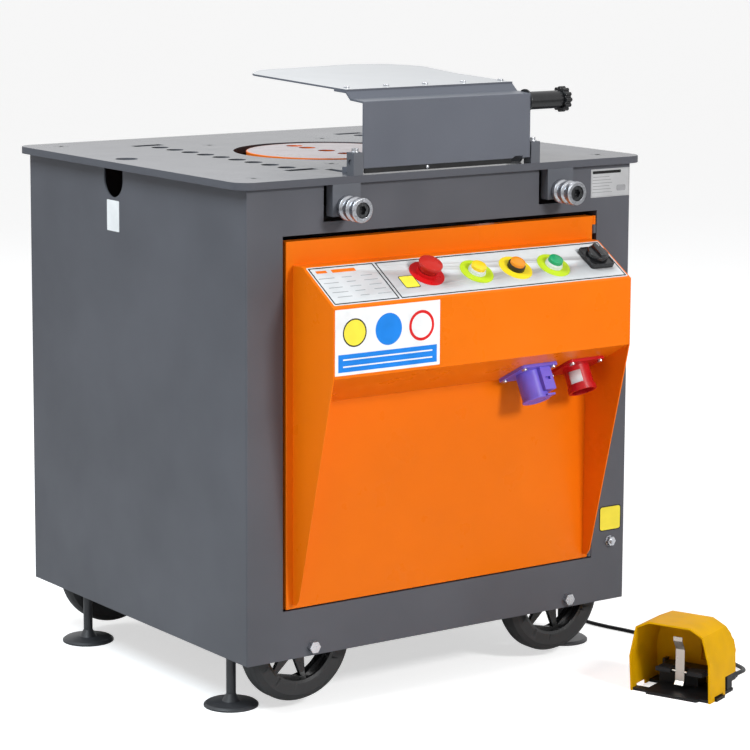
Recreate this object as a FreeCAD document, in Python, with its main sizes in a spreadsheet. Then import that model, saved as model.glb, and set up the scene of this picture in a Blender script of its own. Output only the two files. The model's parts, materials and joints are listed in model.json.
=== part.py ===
import FreeCAD
import Part
import math
import os
import re
from types import SimpleNamespace

import Sketcher
from FreeCAD import Placement, Rotation, Vector

# Rebar bending machine: a square steel table on a sheet cabinet, with a turning
# disc in its middle that bends bars round pins.
# Millimetres. Origin: centre bore of the disc at its top face, which is level with
# the table top. +Z up, the door and console face -Y.

SIZES = [
    ("TableWidth", 820, "table top along X"),
    ("TableDepth", 730, "table top along Y"),
    ("TableThick", 12, "plate of the table top"),
    ("TableCorner", 30, "radius of the table's corners"),
    ("TableOverX", 20, "table beyond the cabinet at each side"),
    ("TableOverY", 15, "table beyond the cabinet at front and rear"),
    ("TableHole", 161, "radius of the round opening for the disc"),
    ("PinRowX", 215, "row of pin holes from the middle"),
    ("PinPitch", 50, "pin hole to pin hole"),
    ("PinCount", 9, "pin holes in a row"),
    ("PinHole", 15, "radius of a pin hole"),
    ("SlotLength", 58, "bar slot along X"),
    ("SlotWidth", 20, "bar slot along Y"),
    ("SlotGap", 42, "bar slots from the last pin hole"),
    ("LiftHole", 19, "radius of the holes for the lifting hooks"),
    ("LiftHoleIn", 26, "lifting holes from the cabinet's sides"),
    ("CornerScrewIn", 40, "corner screws from the cabinet's sides"),
    ("GearboxScrewX", 120, "gearbox screws along X"),
    ("GearboxScrewY", 190, "gearbox screws along Y"),
    ("TableScrew", 6, "radius of the countersunk screws"),
    ("TableScrewHead", 12, "radius of their heads"),
    ("TableScrewLength", 28, "length of the countersunk screws"),
    ("SwitchSlotWidth", 16, "guard switch's slot along X"),
    ("SwitchSlotLength", 70, "guard switch's slot along Y"),
    ("SwitchSlotIn", 4, "guard switch's slot from the guard's left end"),
    ("SwitchSlotBack", 60, "guard switch's slot behind the guard's pivot"),
    ("CabinetLift", 97, "cabinet's bottom edge above the floor"),
    ("FloorLevel", -872, "floor under the feet"),
    ("Sheet", 3, "sheet of the cabinet"),
    ("PanelRound", 2.5, "round along the front panel's upright edges"),
    ("DoorInLeft", 68, "door opening from the cabinet's left side"),
    ("DoorInRight", 73, "door opening from the cabinet's right side"),
    ("DoorSill", 80, "door opening above the cabinet's bottom edge"),
    ("DoorTop", -90, "door opening, top edge"),
    ("OpeningRim", 22, "folded rim round the door opening"),
    ("LiftSlotFrom", 29, "lifting slot, front edge"),
    ("LiftSlotTo", 90.5, "lifting slot, rear edge"),
    ("LiftSlotLow", -63, "lifting slot, lowest point"),
    ("TopFlange", 60, "side panel's flange under the table"),
    ("NutBoss", 10, "radius of the weld nuts under the flanges"),
    ("NutBossDeep", 12, "depth of the weld nuts"),
    ("LeftRollerX", -210.5, "left roller's axis"),
    ("RightRollerX", 224.5, "right roller's axis"),
    ("RollerZ", -50, "rollers' axes"),
    ("RollerRadius", 20, "roller's flanges"),
    ("RollerGroove", 16, "roller at the bottom of its grooves"),
    ("RollerLength", 45, "roller along its axis"),
    ("RollerScrew", 8, "radius of the roller's screw"),
    ("RollerScrewHead", 12, "radius of the screw's head"),
    ("RollerRecess", 17, "depth of the recess for the head"),
    ("LugWidth", 54, "lug that carries a roller"),
    ("LugThick", 18, "lug along Y"),
    ("LugLow", -63, "lug's bottom edge"),
    ("NotchSide", 7, "gap beside a lug in the front panel"),
    ("NotchLow", 9, "gap below a lug in the front panel"),
    ("WheelIn", 125.5, "wheel axles from the cabinet's sides"),
    ("WheelBack", 53, "wheels' middle planes from the cabinet's front and rear"),
    ("WheelLift", 11.7, "tyres above the floor while the feet stand on it"),
    ("WheelRadius", 100, "tyre"),
    ("WheelWidth", 42, "tyre"),
    ("TyreShoulder", 12, "tyre's side face"),
    ("TyreRound", 4, "first round of the tyre's shoulder"),
    ("TreadIn", 13, "tread's edge from the tyre's side"),
    ("RimWall", 5, "rim under the tyre"),
    ("DishHalf", 4, "half the thickness of the wheel's dish"),
    ("RimRadius", 70, "rim where the tyre sits"),
    ("HubRadius", 22, "hub of a wheel"),
    ("HubHalf", 25, "half the hub's length"),
    ("SpokeCount", 7, "spokes of a wheel"),
    ("Axle", 6, "radius of the wheel bolts"),
    ("WheelSpacer", 10, "spacer between hub and rail"),
    ("SpacerRadius", 11, "radius of the spacers"),
    ("BoltFlats", 18, "wheel bolt's head across its flats"),
    ("BoltHead", 9, "height of the wheel bolt's head"),
    ("RailHigh", 75, "base rails above the cabinet's bottom edge"),
    ("RailFlange", 56, "base rail's bottom flange"),
    ("FootIn", 42, "feet from the cabinet's sides"),
    ("FootBack", 26, "feet behind the base rail's face"),
    ("FootRadius", 45, "foot's plate"),
    ("FootRod", 8, "radius of the foot's screw"),
    ("FootRodUp", 40, "upper end of the foot's screw above the cabinet's bottom edge"),
    ("FootBush", 14, "radius of the foot's threaded bush"),
    ("FootBushUp", 33, "top of the foot's bush above the cabinet's bottom edge"),
    ("Running", 0.06, "radial clearance of a turning or sliding fit"),
    ("Seat", 0.3, "gap between a piece and its seat"),
    ("EarthIn", 33, "earth bolt from the cabinet's right side"),
    ("EarthUp", 105, "earth bolt above the cabinet's bottom edge"),
    ("EarthBolt", 4, "radius of the earth bolt"),
    ("DiscRadius", 139, "bending disc"),
    ("DiscThick", 30, "bending disc"),
    ("DiscBore", 15, "bores of the bending disc"),
    ("DiscNear", 60, "first pair of bores from the middle"),
    ("DiscFar", 100, "outer bore from the middle"),
    ("DiscHub", 42, "hub under the disc"),
    ("DiscHubLow", -62, "bottom of the disc's hub"),
    ("BoreDepth", 40, "depth of the disc's centre bore"),
    ("Spindle", 25, "radius of the spindle's journals"),
    ("SpindleSeat", 30, "radius of the gear's seat on the spindle"),
    ("SpindleLow", -138, "lower end of the spindle"),
    ("GearModule", 5, "module of the gears"),
    ("WheelTeeth", 44, "teeth of the disc's gear"),
    ("PinionTeeth", 18, "teeth of the pinion"),
    ("GearTop", -66, "top of the gears"),
    ("GearThick", 28, "thickness of the gears"),
    ("Backlash", 0.5, "play between the teeth"),
    ("PinionShaft", 15, "radius of the pinion's shaft"),
    ("CoverTop", -46, "top of the gearbox cover"),
    ("CoverThick", 12, "gearbox cover"),
    ("CoverEdge", 30, "cover's sides and front beyond its posts"),
    ("CoverTail", 50, "cover's rear edge beyond its posts"),
    ("CoverBoss", 20, "radius of the cover's four posts"),
    ("HousingWall", 12, "gearbox wall"),
    ("GearRoom", 7, "gap round the gears in the housing"),
    ("HousingLow", -122, "bottom of the gearbox"),
    ("HousingCorner", 40, "corner radius of the gearbox"),
    ("BearingBoss", 40, "radius of the boss under the spindle"),
    ("MotorRadius", 78, "motor's body"),
    ("MotorFlange", 95, "radius of the motor's flange"),
    ("MotorFlangeThick", 14, "motor's flange"),
    ("MotorNeck", 8, "taper between the motor's flange and its body"),
    ("FanCover", 60, "height of the fan cover"),
    ("FanCoverOut", 12, "fan cover beyond the motor's body"),
    ("FanCoverEdge", 12, "sloping edge of the fan cover"),
    ("MotorLow", -430, "bottom of the fan cover"),
    ("MotorRibs", 20, "cooling ribs of the motor"),
    ("RibHeight", 9, "height of a cooling rib"),
    ("RibThick", 3, "cooling rib"),
    ("RibClear", 40, "cooling ribs below the motor's top face"),
    ("TerminalWidth", 90, "motor's terminal box"),
    ("TerminalHigh", 100, "motor's terminal box"),
    ("TerminalUp", 120, "terminal box above the fan cover's end"),
    ("TerminalOut", 30, "terminal box beyond the motor's body"),
    ("PostWidth", 18.5, "guard post along X"),
    ("PostDepth", 20, "guard post along Y"),
    ("PostHeight", 36, "guard post"),
    ("PostGapLeft", 0.8, "left guard post from the bracket"),
    ("PostGapRight", 2.3, "right guard post from the bracket"),
    ("PostScrew", 4, "radius of the guard posts' screws"),
    ("GuardPin", 5, "radius of the guard's pivot pins"),
    ("PivotZ", 20, "guard's pivot above the table"),
    ("PivotBack", 10, "guard's pivot behind the table's front edge"),
    ("GuardLeft", -178, "guard bracket, left end"),
    ("GuardRight", 159, "guard bracket, right end"),
    ("GuardBack", 1, "bracket's face behind the table's front edge"),
    ("GuardSheet", 3, "sheet of the guard"),
    ("BracketLow", 10, "bottom edge of the bracket"),
    ("BracketTop", 116.5, "bracket's front fold"),
    ("BracketFoot", 12, "return along the bracket's bottom edge"),
    ("ShelfRise", 2.2, "rise of the bracket's shelf"),
    ("ShelfRun", 36, "bracket's shelf from front to rear"),
    ("StepRun", 49, "guard sheet's front edge behind the bracket's face"),
    ("StepRise", 13.1, "guard sheet's underside above the bracket's fold"),
    ("FlangeRun", 83, "bracket's top flange, rear edge from the bracket's face"),
    ("ArmDeep", 50, "bracket's arms behind the pivot"),
    ("ArmNear", 12, "raised part of the arms behind the pivot"),
    ("ArmUp", 11, "arms above the pivot"),
    ("ArmHigh", 8, "height of the arms' rear part"),
    ("FingerFrom", 39, "front of the switch's finger behind the pivot"),
    ("FingerLow", 24, "tip of the switch's finger below the table top"),
    ("WindowWide", 22, "window in the bracket's bottom edge"),
    ("WindowIn", 15, "that window from the bracket's right end"),
    ("GuardTilt", 1.8, "guard sheet's rise to the back, degrees"),
    ("ScrewRun", 74, "row of screws in the guard sheet behind the bracket's face"),
    ("ScrewIn", 18, "first of these screws from the bracket's left end"),
    ("SheetDeep", 360, "guard sheet from front to rear"),
    ("SheetWing", 23, "guard sheet's widest place beyond the bracket's right end"),
    ("SheetWingFrom", 205, "start of that wing from the sheet's rear end"),
    ("SheetWingTo", 75, "widest place from the sheet's rear end"),
    ("SheetLeftTo", 81, "left edge's end from the sheet's rear end"),
    ("SheetRound", 40, "round corners at the guard sheet's rear"),
    ("GuardScrew", 2.5, "radius of the guard's screws"),
    ("SwitchBack", 30, "guard switch's case behind the guard's pivot"),
    ("SwitchWide", 26, "guard switch's case along X"),
    ("SwitchDeep", 45, "guard switch's case along Y"),
    ("SwitchHigh", 40, "guard switch's case"),
    ("SwitchGap", 10, "guard switch's case from the finger"),
    ("HandleBack", 16, "handle's axis behind the bracket's face"),
    ("HandleDrop", 14, "handle's axis below the bracket's fold"),
    ("HandleTube", 15, "radius of the handle"),
    ("HandleLength", 73, "handle from the bracket to the knob"),
    ("KnobRadius", 18, "star knob between its lobes"),
    ("KnobThick", 12, "star knob"),
    ("KnobLobes", 12, "lobes of the star knob"),
    ("LeafRim", 20, "door leaf's folded rim"),
    ("LeafGapLeft", 6.5, "door leaf from the opening's left edge"),
    ("LeafGapRight", 9, "door leaf from the opening's right edge"),
    ("LeafGapLow", 2.4, "door leaf from the opening's bottom edge"),
    ("LeafGapTop", 9, "door leaf from the opening's top edge"),
    ("DoorSheet", 2, "sheet of the door and console"),
    ("FoldRound", 1.5, "round along the folds of the door, the console and the guard"),
    ("HingeIn", 4.4, "hinge axis from the door opening's right edge"),
    ("HingeDeep", 3, "hinge axis behind the cabinet's front"),
    ("HingeBarrel", 3.4, "radius of the hinge's barrels"),
    ("HingePin", 1.8, "radius of the hinge's pins"),
    ("HingeHalf", 15, "height of each barrel"),
    ("ConsoleInLeft", 12.5, "console from the leaf's left edge"),
    ("ConsoleInRight", 9, "console from the leaf's right edge"),
    ("ConsoleDrop", 38, "console's shelf below the leaf's top edge"),
    ("ConsoleDeep", 113, "console before the leaf"),
    ("ConsoleHigh", 166, "console's shelf above the front face's lower edge"),
    ("ShelfDeep", 26, "console's shelf from front to rear"),
    ("SlopeFall", 54, "fall of the slope"),
    ("UndersideFall", 59, "fall of the underside towards the leaf"),
    ("CheekDeep", 18, "cheek's lower end before the leaf"),
    ("CheekKneeUp", 17.6, "cheek's knee above the leaf's bottom edge"),
    ("CheekUp", 7.6, "cheek's lower end above the leaf's bottom edge"),
    ("CheekCut", 8, "cheek's lower end behind its knee"),
    ("StopIn", 386.5, "emergency stop from the console's right end"),
    ("StopDown", 43, "emergency stop down the slope"),
    ("YellowIn", 290.5, "yellow button from the console's right end"),
    ("AmberIn", 210.5, "amber button from the console's right end"),
    ("GreenIn", 133, "green button from the console's right end"),
    ("RotaryIn", 40, "rotary switch from the console's right end"),
    ("ButtonDown", 50, "yellow and amber button down the slope"),
    ("GreenDown", 53, "green button down the slope"),
    ("RotaryDown", 48, "rotary switch down the slope"),
    ("ControlBarrel", 11, "radius of the controls' barrels"),
    ("BarrelDeep", 34, "controls' barrels behind the panel"),
    ("LegendRadius", 29, "coloured discs round the buttons"),
    ("LegendThick", 1.2, "coloured discs"),
    ("StopLegend", 30, "disc round the emergency stop"),
    ("StopNeck", 14.5, "neck of the emergency stop"),
    ("StopHead", 20, "head of the emergency stop"),
    ("StopHeight", 26, "top of the head above the panel"),
    ("StopRim", 12, "height of the stop's flared head"),
    ("StopTravel", 5, "travel of the emergency stop"),
    ("BezelRadius", 15, "bezel round a button"),
    ("BezelHeight", 9, "bezel above the panel"),
    ("ButtonRadius", 12.5, "button"),
    ("ButtonHeight", 16, "button above the panel"),
    ("ButtonStem", 5, "radius of the button's stem"),
    ("ButtonTravel", 3.5, "travel of a button"),
    ("SwitchPlate", 48, "rotary switch's plate, square"),
    ("SwitchThick", 8, "rotary switch's plate"),
    ("SwitchKnob", 19, "radius of the rotary switch's knob"),
    ("SwitchTop", 22, "top of the rotary switch's knob"),
    ("SwitchStem", 4, "radius of the rotary switch's stem"),
    ("GripWidth", 10, "grip across the rotary switch's knob"),
    ("SocketOut", 35, "middle of the sockets before the leaf"),
    ("OutletIn", 155.5, "covered socket from the console's right end"),
    ("InletIn", 54, "open inlet from the console's right end"),
    ("SocketFlange", 75, "socket's square flange"),
    ("SocketPitch", 60, "socket's screws"),
    ("SocketScrew", 2.5, "radius of the socket's screws"),
    ("FlangeThick", 5, "socket's flange"),
    ("SocketRadius", 22.5, "outside of the sockets"),
    ("SocketWall", 2.5, "wall of the sockets"),
    ("OutletLength", 50, "covered socket below its flange's seat"),
    ("InletLength", 48, "open inlet below its flange's seat"),
    ("LidThick", 4, "lid of the covered socket"),
    ("LatchBlockWide", 22, "block with the latch beside the covered socket's sleeve"),
    ("LatchBlockOut", 30, "that block from the sleeve's axis"),
    ("ContactCircle", 12, "contacts of the open inlet from its axis"),
    ("ContactPin", 2.5, "radius of the inlet's contacts"),
    ("MountIn", 125.5, "mounting plate from the leaf's left edge"),
    ("MountDrop", 66, "mounting plate below the leaf's top edge"),
    ("MountWide", 280, "mounting plate behind the leaf"),
    ("MountHigh", 180, "mounting plate behind the leaf"),
    ("MountThick", 2, "mounting plate behind the leaf"),
    ("DeviceIn", 12, "first contactor from the plate's left edge"),
    ("DeviceDrop", 15, "contactors below the plate's top edge"),
    ("DeviceWide", 45, "contactor and relay"),
    ("DeviceHigh", 80, "contactor and relay"),
    ("DeviceDeep", 80, "contactor"),
    ("DeviceGap", 10, "gap between contactors"),
    ("DeviceNose", 15, "step above and below a contactor's nose"),
    ("RelayMore", 10, "relay before the contactors"),
    ("SupplyWide", 86, "transformer"),
    ("SupplyHigh", 90, "transformer"),
    ("SupplyDeep", 76, "transformer"),
    ("SupplyIn", 12, "transformer from the plate's right edge"),
    ("StripDrop", 130, "terminal strip below the plate's top edge"),
    ("StripHigh", 35, "terminal strip"),
    ("StripDeep", 43, "terminal strip"),
    ("GlandBack", 290, "cable gland behind the cabinet's front"),
    ("GlandUp", 40, "cable gland above the cabinet's bottom edge"),
    ("GlandThread", 9, "radius of the gland's thread"),
    ("GlandBody", 14, "radius of the gland"),
    ("GlandLength", 28, "cable gland outside the panel"),
    ("CableRadius", 3.5, "pedal's cable"),
    ("CableLift", 0.2, "pedal's cable over the floor"),
    ("PedalIn", 117.8, "middle of the pedal's opening from the cabinet's right side"),
    ("PedalOut", 261, "middle of the pedal's opening before the cabinet"),
    ("PedalTurn", -68.2, "turn of the pedal about Z, degrees"),
    ("HoodDepth", 98, "pedal hood from front to back"),
    ("HoodWall", 3, "wall of the pedal's hood"),
    ("HoodHalf", 73.2, "half the hood's width at the floor"),
    ("HoodWaist", 76.8, "half the hood's width at its widest"),
    ("HoodTop", 122.2, "height of the hood"),
    ("HoodWaistZ", 59, "height of the hood's widest place"),
    ("HoodKnee", 11.5, "first slope of the hood below its top"),
    ("HoodShoulder", 35.5, "hood's flat top from its widest place"),
    ("HumpWide", 62, "hump on the hood's rear"),
    ("HumpTop", 96, "height of the hump"),
    ("HumpOut", 7, "hump behind the hood"),
    ("BaseThick", 5, "pedal's base plate"),
    ("BaseLip", 5, "tongue of the base before the hood"),
    ("PedalGlandX", 60.5, "pedal's cable gland from the middle"),
    ("PedalGlandZ", 20, "pedal's cable gland above the floor"),
    ("PedalGlandOut", 22, "end of the pedal's gland behind the hood"),
    ("TreadPivot", 82, "treadle's pivot from the front"),
    ("TreadZ", 34, "treadle's pivot above the floor"),
    ("TreadPin", 3, "radius of the treadle's pin"),
    ("TreadWide", 86, "treadle from side to side"),
    ("TreadRib", 2, "rib on the treadle"),
    ("RibPitch", 6, "rib to rib on the treadle"),
    ("RibCount", 4, "ribs on the treadle"),
    ("EarGap", 4, "gap between the treadle and its bearings"),
    ("EarThick", 5, "treadle's bearings"),
    ("TreadFront", 30, "treadle's front edge from the hood's front"),
    ("LatchPin", 2, "radius of the latch's pin"),
    ("LatchHalf", 22, "half the length of the latch's pin"),
    ("LatchWide", 24, "latch strip from side to side"),
    ("LatchWindow", 30, "window in the treadle for the latch"),
    ("LatchThick", 2, "latch strip"),
    ("LatchLow", 13, "latch's foot above the floor"),
    ("LatchBend", 66, "latch's bend above the floor"),
    ("LatchLip", 90, "latch's lip above the floor"),
    ("LatchTop", 102, "latch's top above the floor"),
]

# Sizes that follow from others, each by its own formula.
TIED = [
    ("CabinetWidth", "TableWidth - 2 * TableOverX", "cabinet along X"),
    ("CabinetDepth", "TableDepth - 2 * TableOverY", "cabinet along Y"),
    ("CabinetLow", "FloorLevel + CabinetLift", "bottom edge of the cabinet"),
    ("CornerScrewX", "CabinetWidth / 2 - CornerScrewIn", "corner screws of the table along X"),
    ("CornerScrewY", "CabinetDepth / 2 - CornerScrewIn", "corner screws of the table along Y"),
    ("SlotRowY", "PinPitch * (PinCount - 1) / 2 + SlotGap", "bar slots from the middle"),
    ("DoorLeft", "DoorInLeft - CabinetWidth / 2", "door opening, left edge"),
    ("DoorRight", "CabinetWidth / 2 - DoorInRight", "door opening, right edge"),
    ("DoorLow", "CabinetLow + DoorSill", "door opening, bottom edge"),
    ("WheelX", "CabinetWidth / 2 - WheelIn", "wheel axles from the middle"),
    ("WheelY", "CabinetDepth / 2 - WheelBack", "middle plane of a wheel"),
    ("AxleZ", "FloorLevel + WheelRadius + WheelLift", "wheel axles"),
    ("RailTop", "CabinetLow + RailHigh", "top of the base rails"),
    ("RailFace", "WheelY - HubHalf - WheelSpacer", "base rails' faces from the middle"),
    ("FootX", "CabinetWidth / 2 - FootIn", "feet from the middle along X"),
    ("FootY", "RailFace - FootBack", "feet from the middle along Y"),
    ("FootRodTop", "CabinetLow + FootRodUp", "upper end of the foot's screw"),
    ("FootBushTop", "CabinetLow + FootBushUp", "top of the foot's bush"),
    ("EarthX", "CabinetWidth / 2 - EarthIn", "earth bolt"),
    ("EarthZ", "CabinetLow + EarthUp", "earth bolt"),
    ("CoverX", "GearboxScrewX + CoverEdge", "half the cover along X"),
    ("CoverFront", "-(GearboxScrewY + CoverEdge)", "cover's front edge"),
    ("CoverRear", "GearboxScrewY + CoverTail", "cover's rear edge"),
    ("PivotY", "PivotBack - TableDepth / 2", "guard's pivot"),
    ("GuardFront", "GuardBack - TableDepth / 2", "front face of the guard bracket"),
    ("ShelfY", "GuardFront + ShelfRun", "rear end of the bracket's shelf"),
    ("StepY", "GuardFront + StepRun", "front edge of the guard sheet"),
    ("StepZ", "BracketTop + StepRise", "underside of the guard sheet at its front edge"),
    ("FlangeRear", "GuardFront + FlangeRun", "rear edge of the bracket's top flange"),
    ("GuardScrewY", "GuardFront + ScrewRun", "row of screws in the guard sheet"),
    ("SwitchSlotX", "GuardLeft + SwitchSlotIn", "middle of the guard switch's slot along X"),
    ("SwitchSlotY", "PivotY + SwitchSlotBack", "middle of the guard switch's slot along Y"),
    ("HandleY", "GuardFront + HandleBack", "handle's axis"),
    ("HandleZ", "BracketTop - HandleDrop", "handle's axis"),
    ("LeafLeft", "DoorLeft + LeafGapLeft", "door leaf, left edge"),
    ("LeafRight", "DoorRight - LeafGapRight", "door leaf, right edge"),
    ("LeafLow", "DoorLow + LeafGapLow", "door leaf, bottom edge"),
    ("LeafTop", "DoorTop - LeafGapTop", "door leaf, top edge"),
    ("HingeX", "DoorRight - HingeIn", "door's hinge axis"),
    ("HingeY", "HingeDeep - CabinetDepth / 2", "door's hinge axis"),
    ("ConsoleLeft", "LeafLeft + ConsoleInLeft", "console, left end"),
    ("ConsoleRight", "LeafRight - ConsoleInRight", "console, right end"),
    ("ConsoleTop", "LeafTop - ConsoleDrop", "top shelf of the console"),
    ("ShelfFront", "-(CabinetDepth / 2 + ShelfDeep)", "front edge of the top shelf"),
    ("SlopeFoot", "ConsoleTop - SlopeFall", "foot of the slope"),
    ("ConsoleFront", "-(CabinetDepth / 2 + ConsoleDeep)", "front face of the console"),
    ("ConsoleLow", "ConsoleTop - ConsoleHigh", "lower edge of the front face"),
    ("UndersideLow", "ConsoleLow - UndersideFall", "where the underside meets the leaf"),
    ("CheekFront", "-(CabinetDepth / 2 + CheekDeep)", "cheek's front edge at its lower end"),
    ("CheekKnee", "LeafLow + CheekKneeUp", "where the cheek's edge turns in"),
    ("CheekLow", "LeafLow + CheekUp", "cheek's lower end"),
    ("SocketY", "-(CabinetDepth / 2 + SocketOut)", "middle of the sockets on the underside"),
    ("OutletX", "ConsoleRight - OutletIn", "covered socket"),
    ("InletX", "ConsoleRight - InletIn", "open inlet"),
    ("MountLeft", "LeafLeft + MountIn", "mounting plate, left edge"),
    ("MountTop", "LeafTop - MountDrop", "mounting plate, top edge"),
    ("DeviceLow", "MountTop - DeviceDrop - DeviceHigh", "contactors, bottom face"),
    ("DeviceStep", "DeviceWide + DeviceGap", "contactor to contactor"),
    ("GlandY", "GlandBack - CabinetDepth / 2", "cable gland on the right panel"),
    ("GlandZ", "CabinetLow + GlandUp", "cable gland on the right panel"),
    ("PedalX", "CabinetWidth / 2 - PedalIn", "middle of the pedal's front opening"),
    ("PedalY", "-(CabinetDepth / 2 + PedalOut)", "middle of the pedal's front opening"),
    ("TreadHalf", "TreadWide / 2", "half the treadle"),
    ("EarFrom", "TreadHalf + EarGap", "inner face of the treadle's bearings"),
]

doc = FreeCAD.newDocument("RebarBendingMachine")
sheet = doc.addObject("Spreadsheet::Sheet", "Sizes")
for row, (alias, value, meaning) in enumerate(SIZES, start=1):
    sheet.set("A%d" % row, meaning)
    sheet.set("B%d" % row, str(value))
    sheet.setAlias("B%d" % row, alias)
PARTS = []
HOLDERS = {alias: "Sizes." for alias, _, _ in SIZES}
HOLDERS.update({alias: "Tied." for alias, _, _ in TIED})


def cells(text):
    """Expression in which each size's name stands for its cell or its tied value."""
    return re.sub(r"[A-Z]\w+", lambda word: HOLDERS.get(word[0], "") + word[0], str(text))


tied = doc.addObject("App::VarSet", "Tied")
for alias, _, meaning in TIED:
    tied.addProperty("App::PropertyFloat", alias, "Tied", meaning)
for alias, formula, _ in TIED:
    tied.setExpression(alias, cells(formula))
doc.recompute()
size = SimpleNamespace(**{alias: float(sheet.get(alias)) for alias, _, _ in SIZES})
for alias, _, _ in TIED:
    setattr(size, alias, getattr(tied, alias))


def bind(thing, **values):
    for name, text in values.items():
        thing.setExpression(name.replace("_", "."), cells(text))


def bind_place(thing, x, y, z):
    bind(thing, Placement_Base_x=x, Placement_Base_y=y, Placement_Base_z=z)


def keep(thing, label):
    """Marks a finished sub-part, which is written under its label."""
    thing.Label = label
    PARTS.append(thing)
    return thing


# Sketches and features of a body


def new_body(name):
    return doc.addObject("PartDesign::Body", name)


def sketch_on(body, plane, at="0"):
    """Sketch on the body's XY, XZ or YZ plane, moved to the coordinate given."""
    sketch = body.newObject("Sketcher::SketchObject", "sketch")
    role = plane + "_Plane"
    base = [feature for feature in body.Origin.OriginFeatures if feature.Role == role][0]
    sketch.AttachmentSupport = [(base, "")]
    sketch.MapMode = "FlatFace"
    sign = "-" if plane == "XZ" else ""
    bind(sketch, AttachmentOffset_Base_z="%s(%s)" % (sign, at))
    return sketch


def fix(sketch, kind, geometry, point, text):
    number = sketch.addConstraint(Sketcher.Constraint(kind, -1, 1, geometry, point, 1.0))
    sketch.setExpression("Constraints[%d]" % number, cells(text))


def outline(sketch, corners):
    """Closed outline of straight lines through corners, each a pair of expressions."""
    first = sketch.GeometryCount
    count = len(corners)
    ring = [Vector(math.cos(2 * math.pi * k / count), math.sin(2 * math.pi * k / count), 0)
            for k in range(count)]
    for k in range(count):
        sketch.addGeometry(Part.LineSegment(ring[k], ring[(k + 1) % count]), False)
    for k in range(count):
        sketch.addConstraint(
            Sketcher.Constraint("Coincident", first + k, 2, first + (k + 1) % count, 1))
    for k, (x, y) in enumerate(corners):
        fix(sketch, "DistanceX", first + k, 1, x)
        fix(sketch, "DistanceY", first + k, 1, y)


def rectangle(sketch, x0, x1, y0, y1):
    outline(sketch, [(x0, y0), (x1, y0), (x1, y1), (x0, y1)])


def circle(sketch, x, y, radius):
    number = sketch.addGeometry(Part.Circle(Vector(1, 1, 0), Vector(0, 0, 1), 2), False)
    fix(sketch, "DistanceX", number, 3, x)
    fix(sketch, "DistanceY", number, 3, y)
    limit = sketch.addConstraint(Sketcher.Constraint("Radius", number, 2.0))
    sketch.setExpression("Constraints[%d]" % limit, cells(radius))


def pad(body, sketch, length, forward=True):
    """Pad towards +X, +Y or +Z, or the other way."""
    feature = body.newObject("PartDesign::Pad", "pad")
    feature.Profile = sketch
    backward_normal = sketch.AttachmentSupport[0][0].Role == "XZ_Plane"
    feature.Reversed = forward if backward_normal else not forward
    bind(feature, Length=length)
    body.Tip = feature
    return feature


def pad_both(body, sketch, length):
    feature = pad(body, sketch, length)
    feature.SideType = "Symmetric"
    return feature


def cut_through(body, sketch):
    """Cut through the whole body, both ways from the sketch."""
    feature = body.newObject("PartDesign::Pocket", "pocket")
    feature.Profile = sketch
    feature.Type = "ThroughAll"
    feature.SideType = "Symmetric"
    body.Tip = feature
    return feature


def pocket(body, sketch, depth, forward=True):
    """Cut to a depth towards +X, +Y or +Z, or the other way."""
    feature = body.newObject("PartDesign::Pocket", "pocket")
    feature.Profile = sketch
    backward_normal = sketch.AttachmentSupport[0][0].Role == "XZ_Plane"
    feature.Reversed = not forward if backward_normal else forward
    bind(feature, Length=depth)
    body.Tip = feature
    return feature


def repeat_round(body, feature, sketch, count):
    """Copies of a feature about the normal of its sketch."""
    pattern = body.newObject("PartDesign::PolarPattern", "pattern")
    pattern.Originals = [feature]
    pattern.Axis = (sketch, ["N_Axis"])
    pattern.Angle = 360
    bind(pattern, Occurrences=count)
    body.Tip = pattern
    return pattern


def repeat_along(body, feature, sketch, axis, length, count):
    pattern = body.newObject("PartDesign::LinearPattern", "pattern")
    pattern.Originals = [feature]
    pattern.Direction = (sketch, [axis])
    bind(pattern, Length=length, Occurrences=count)
    body.Tip = pattern
    return pattern


def edges_where(body, wanted):
    doc.recompute()
    return ["Edge%d" % k for k, edge in enumerate(body.Tip.Shape.Edges, start=1) if wanted(edge)]


def faces_where(body, wanted):
    doc.recompute()
    return ["Face%d" % k for k, face in enumerate(body.Tip.Shape.Faces, start=1) if wanted(face)]


def soften(body, radius, wanted, kind="PartDesign::Fillet"):
    """Fillet or chamfer on the edges for which wanted holds."""
    names = edges_where(body, wanted)
    base = body.Tip
    feature = body.newObject(kind, "soft")
    feature.Base = (base, names)
    if kind == "PartDesign::Fillet":
        bind(feature, Radius=radius)
    else:
        bind(feature, Size=radius)
    body.Tip = feature
    return feature


def hollow(body, wall, wanted):
    """Shell with the wall inside, open at the faces for which wanted holds."""
    names = faces_where(body, wanted)
    base = body.Tip
    feature = body.newObject("PartDesign::Thickness", "shell")
    feature.Base = (base, names)
    feature.Reversed = True
    feature.Join = "Intersection"
    bind(feature, Value=wall)
    body.Tip = feature
    return feature


def upright(edge):
    return (edge.Curve.TypeId == "Part::GeomLine"
            and abs(edge.tangentAt(edge.FirstParameter).z) > 0.999)


def turned(name, profile):
    """Body turned about its own Z axis from corners (radius, height)."""
    body = new_body(name)
    half = sketch_on(body, "XZ")
    outline(half, profile)
    turn = body.newObject("PartDesign::Revolution", "turn")
    turn.Profile = half
    turn.ReferenceAxis = (half, ["V_Axis"])
    turn.Angle = 360
    body.Tip = turn
    return body


def along_x_at(edge, places):
    """True for a straight edge along X that passes one of the places (y, z)."""
    if edge.Curve.TypeId != "Part::GeomLine" or abs(edge.tangentAt(edge.FirstParameter).x) < 0.999:
        return False
    return any(abs(edge.CenterOfMass.y - y) < 1e-3 and abs(edge.CenterOfMass.z - z) < 1e-3
               for y, z in places)


# Plain solids


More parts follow.
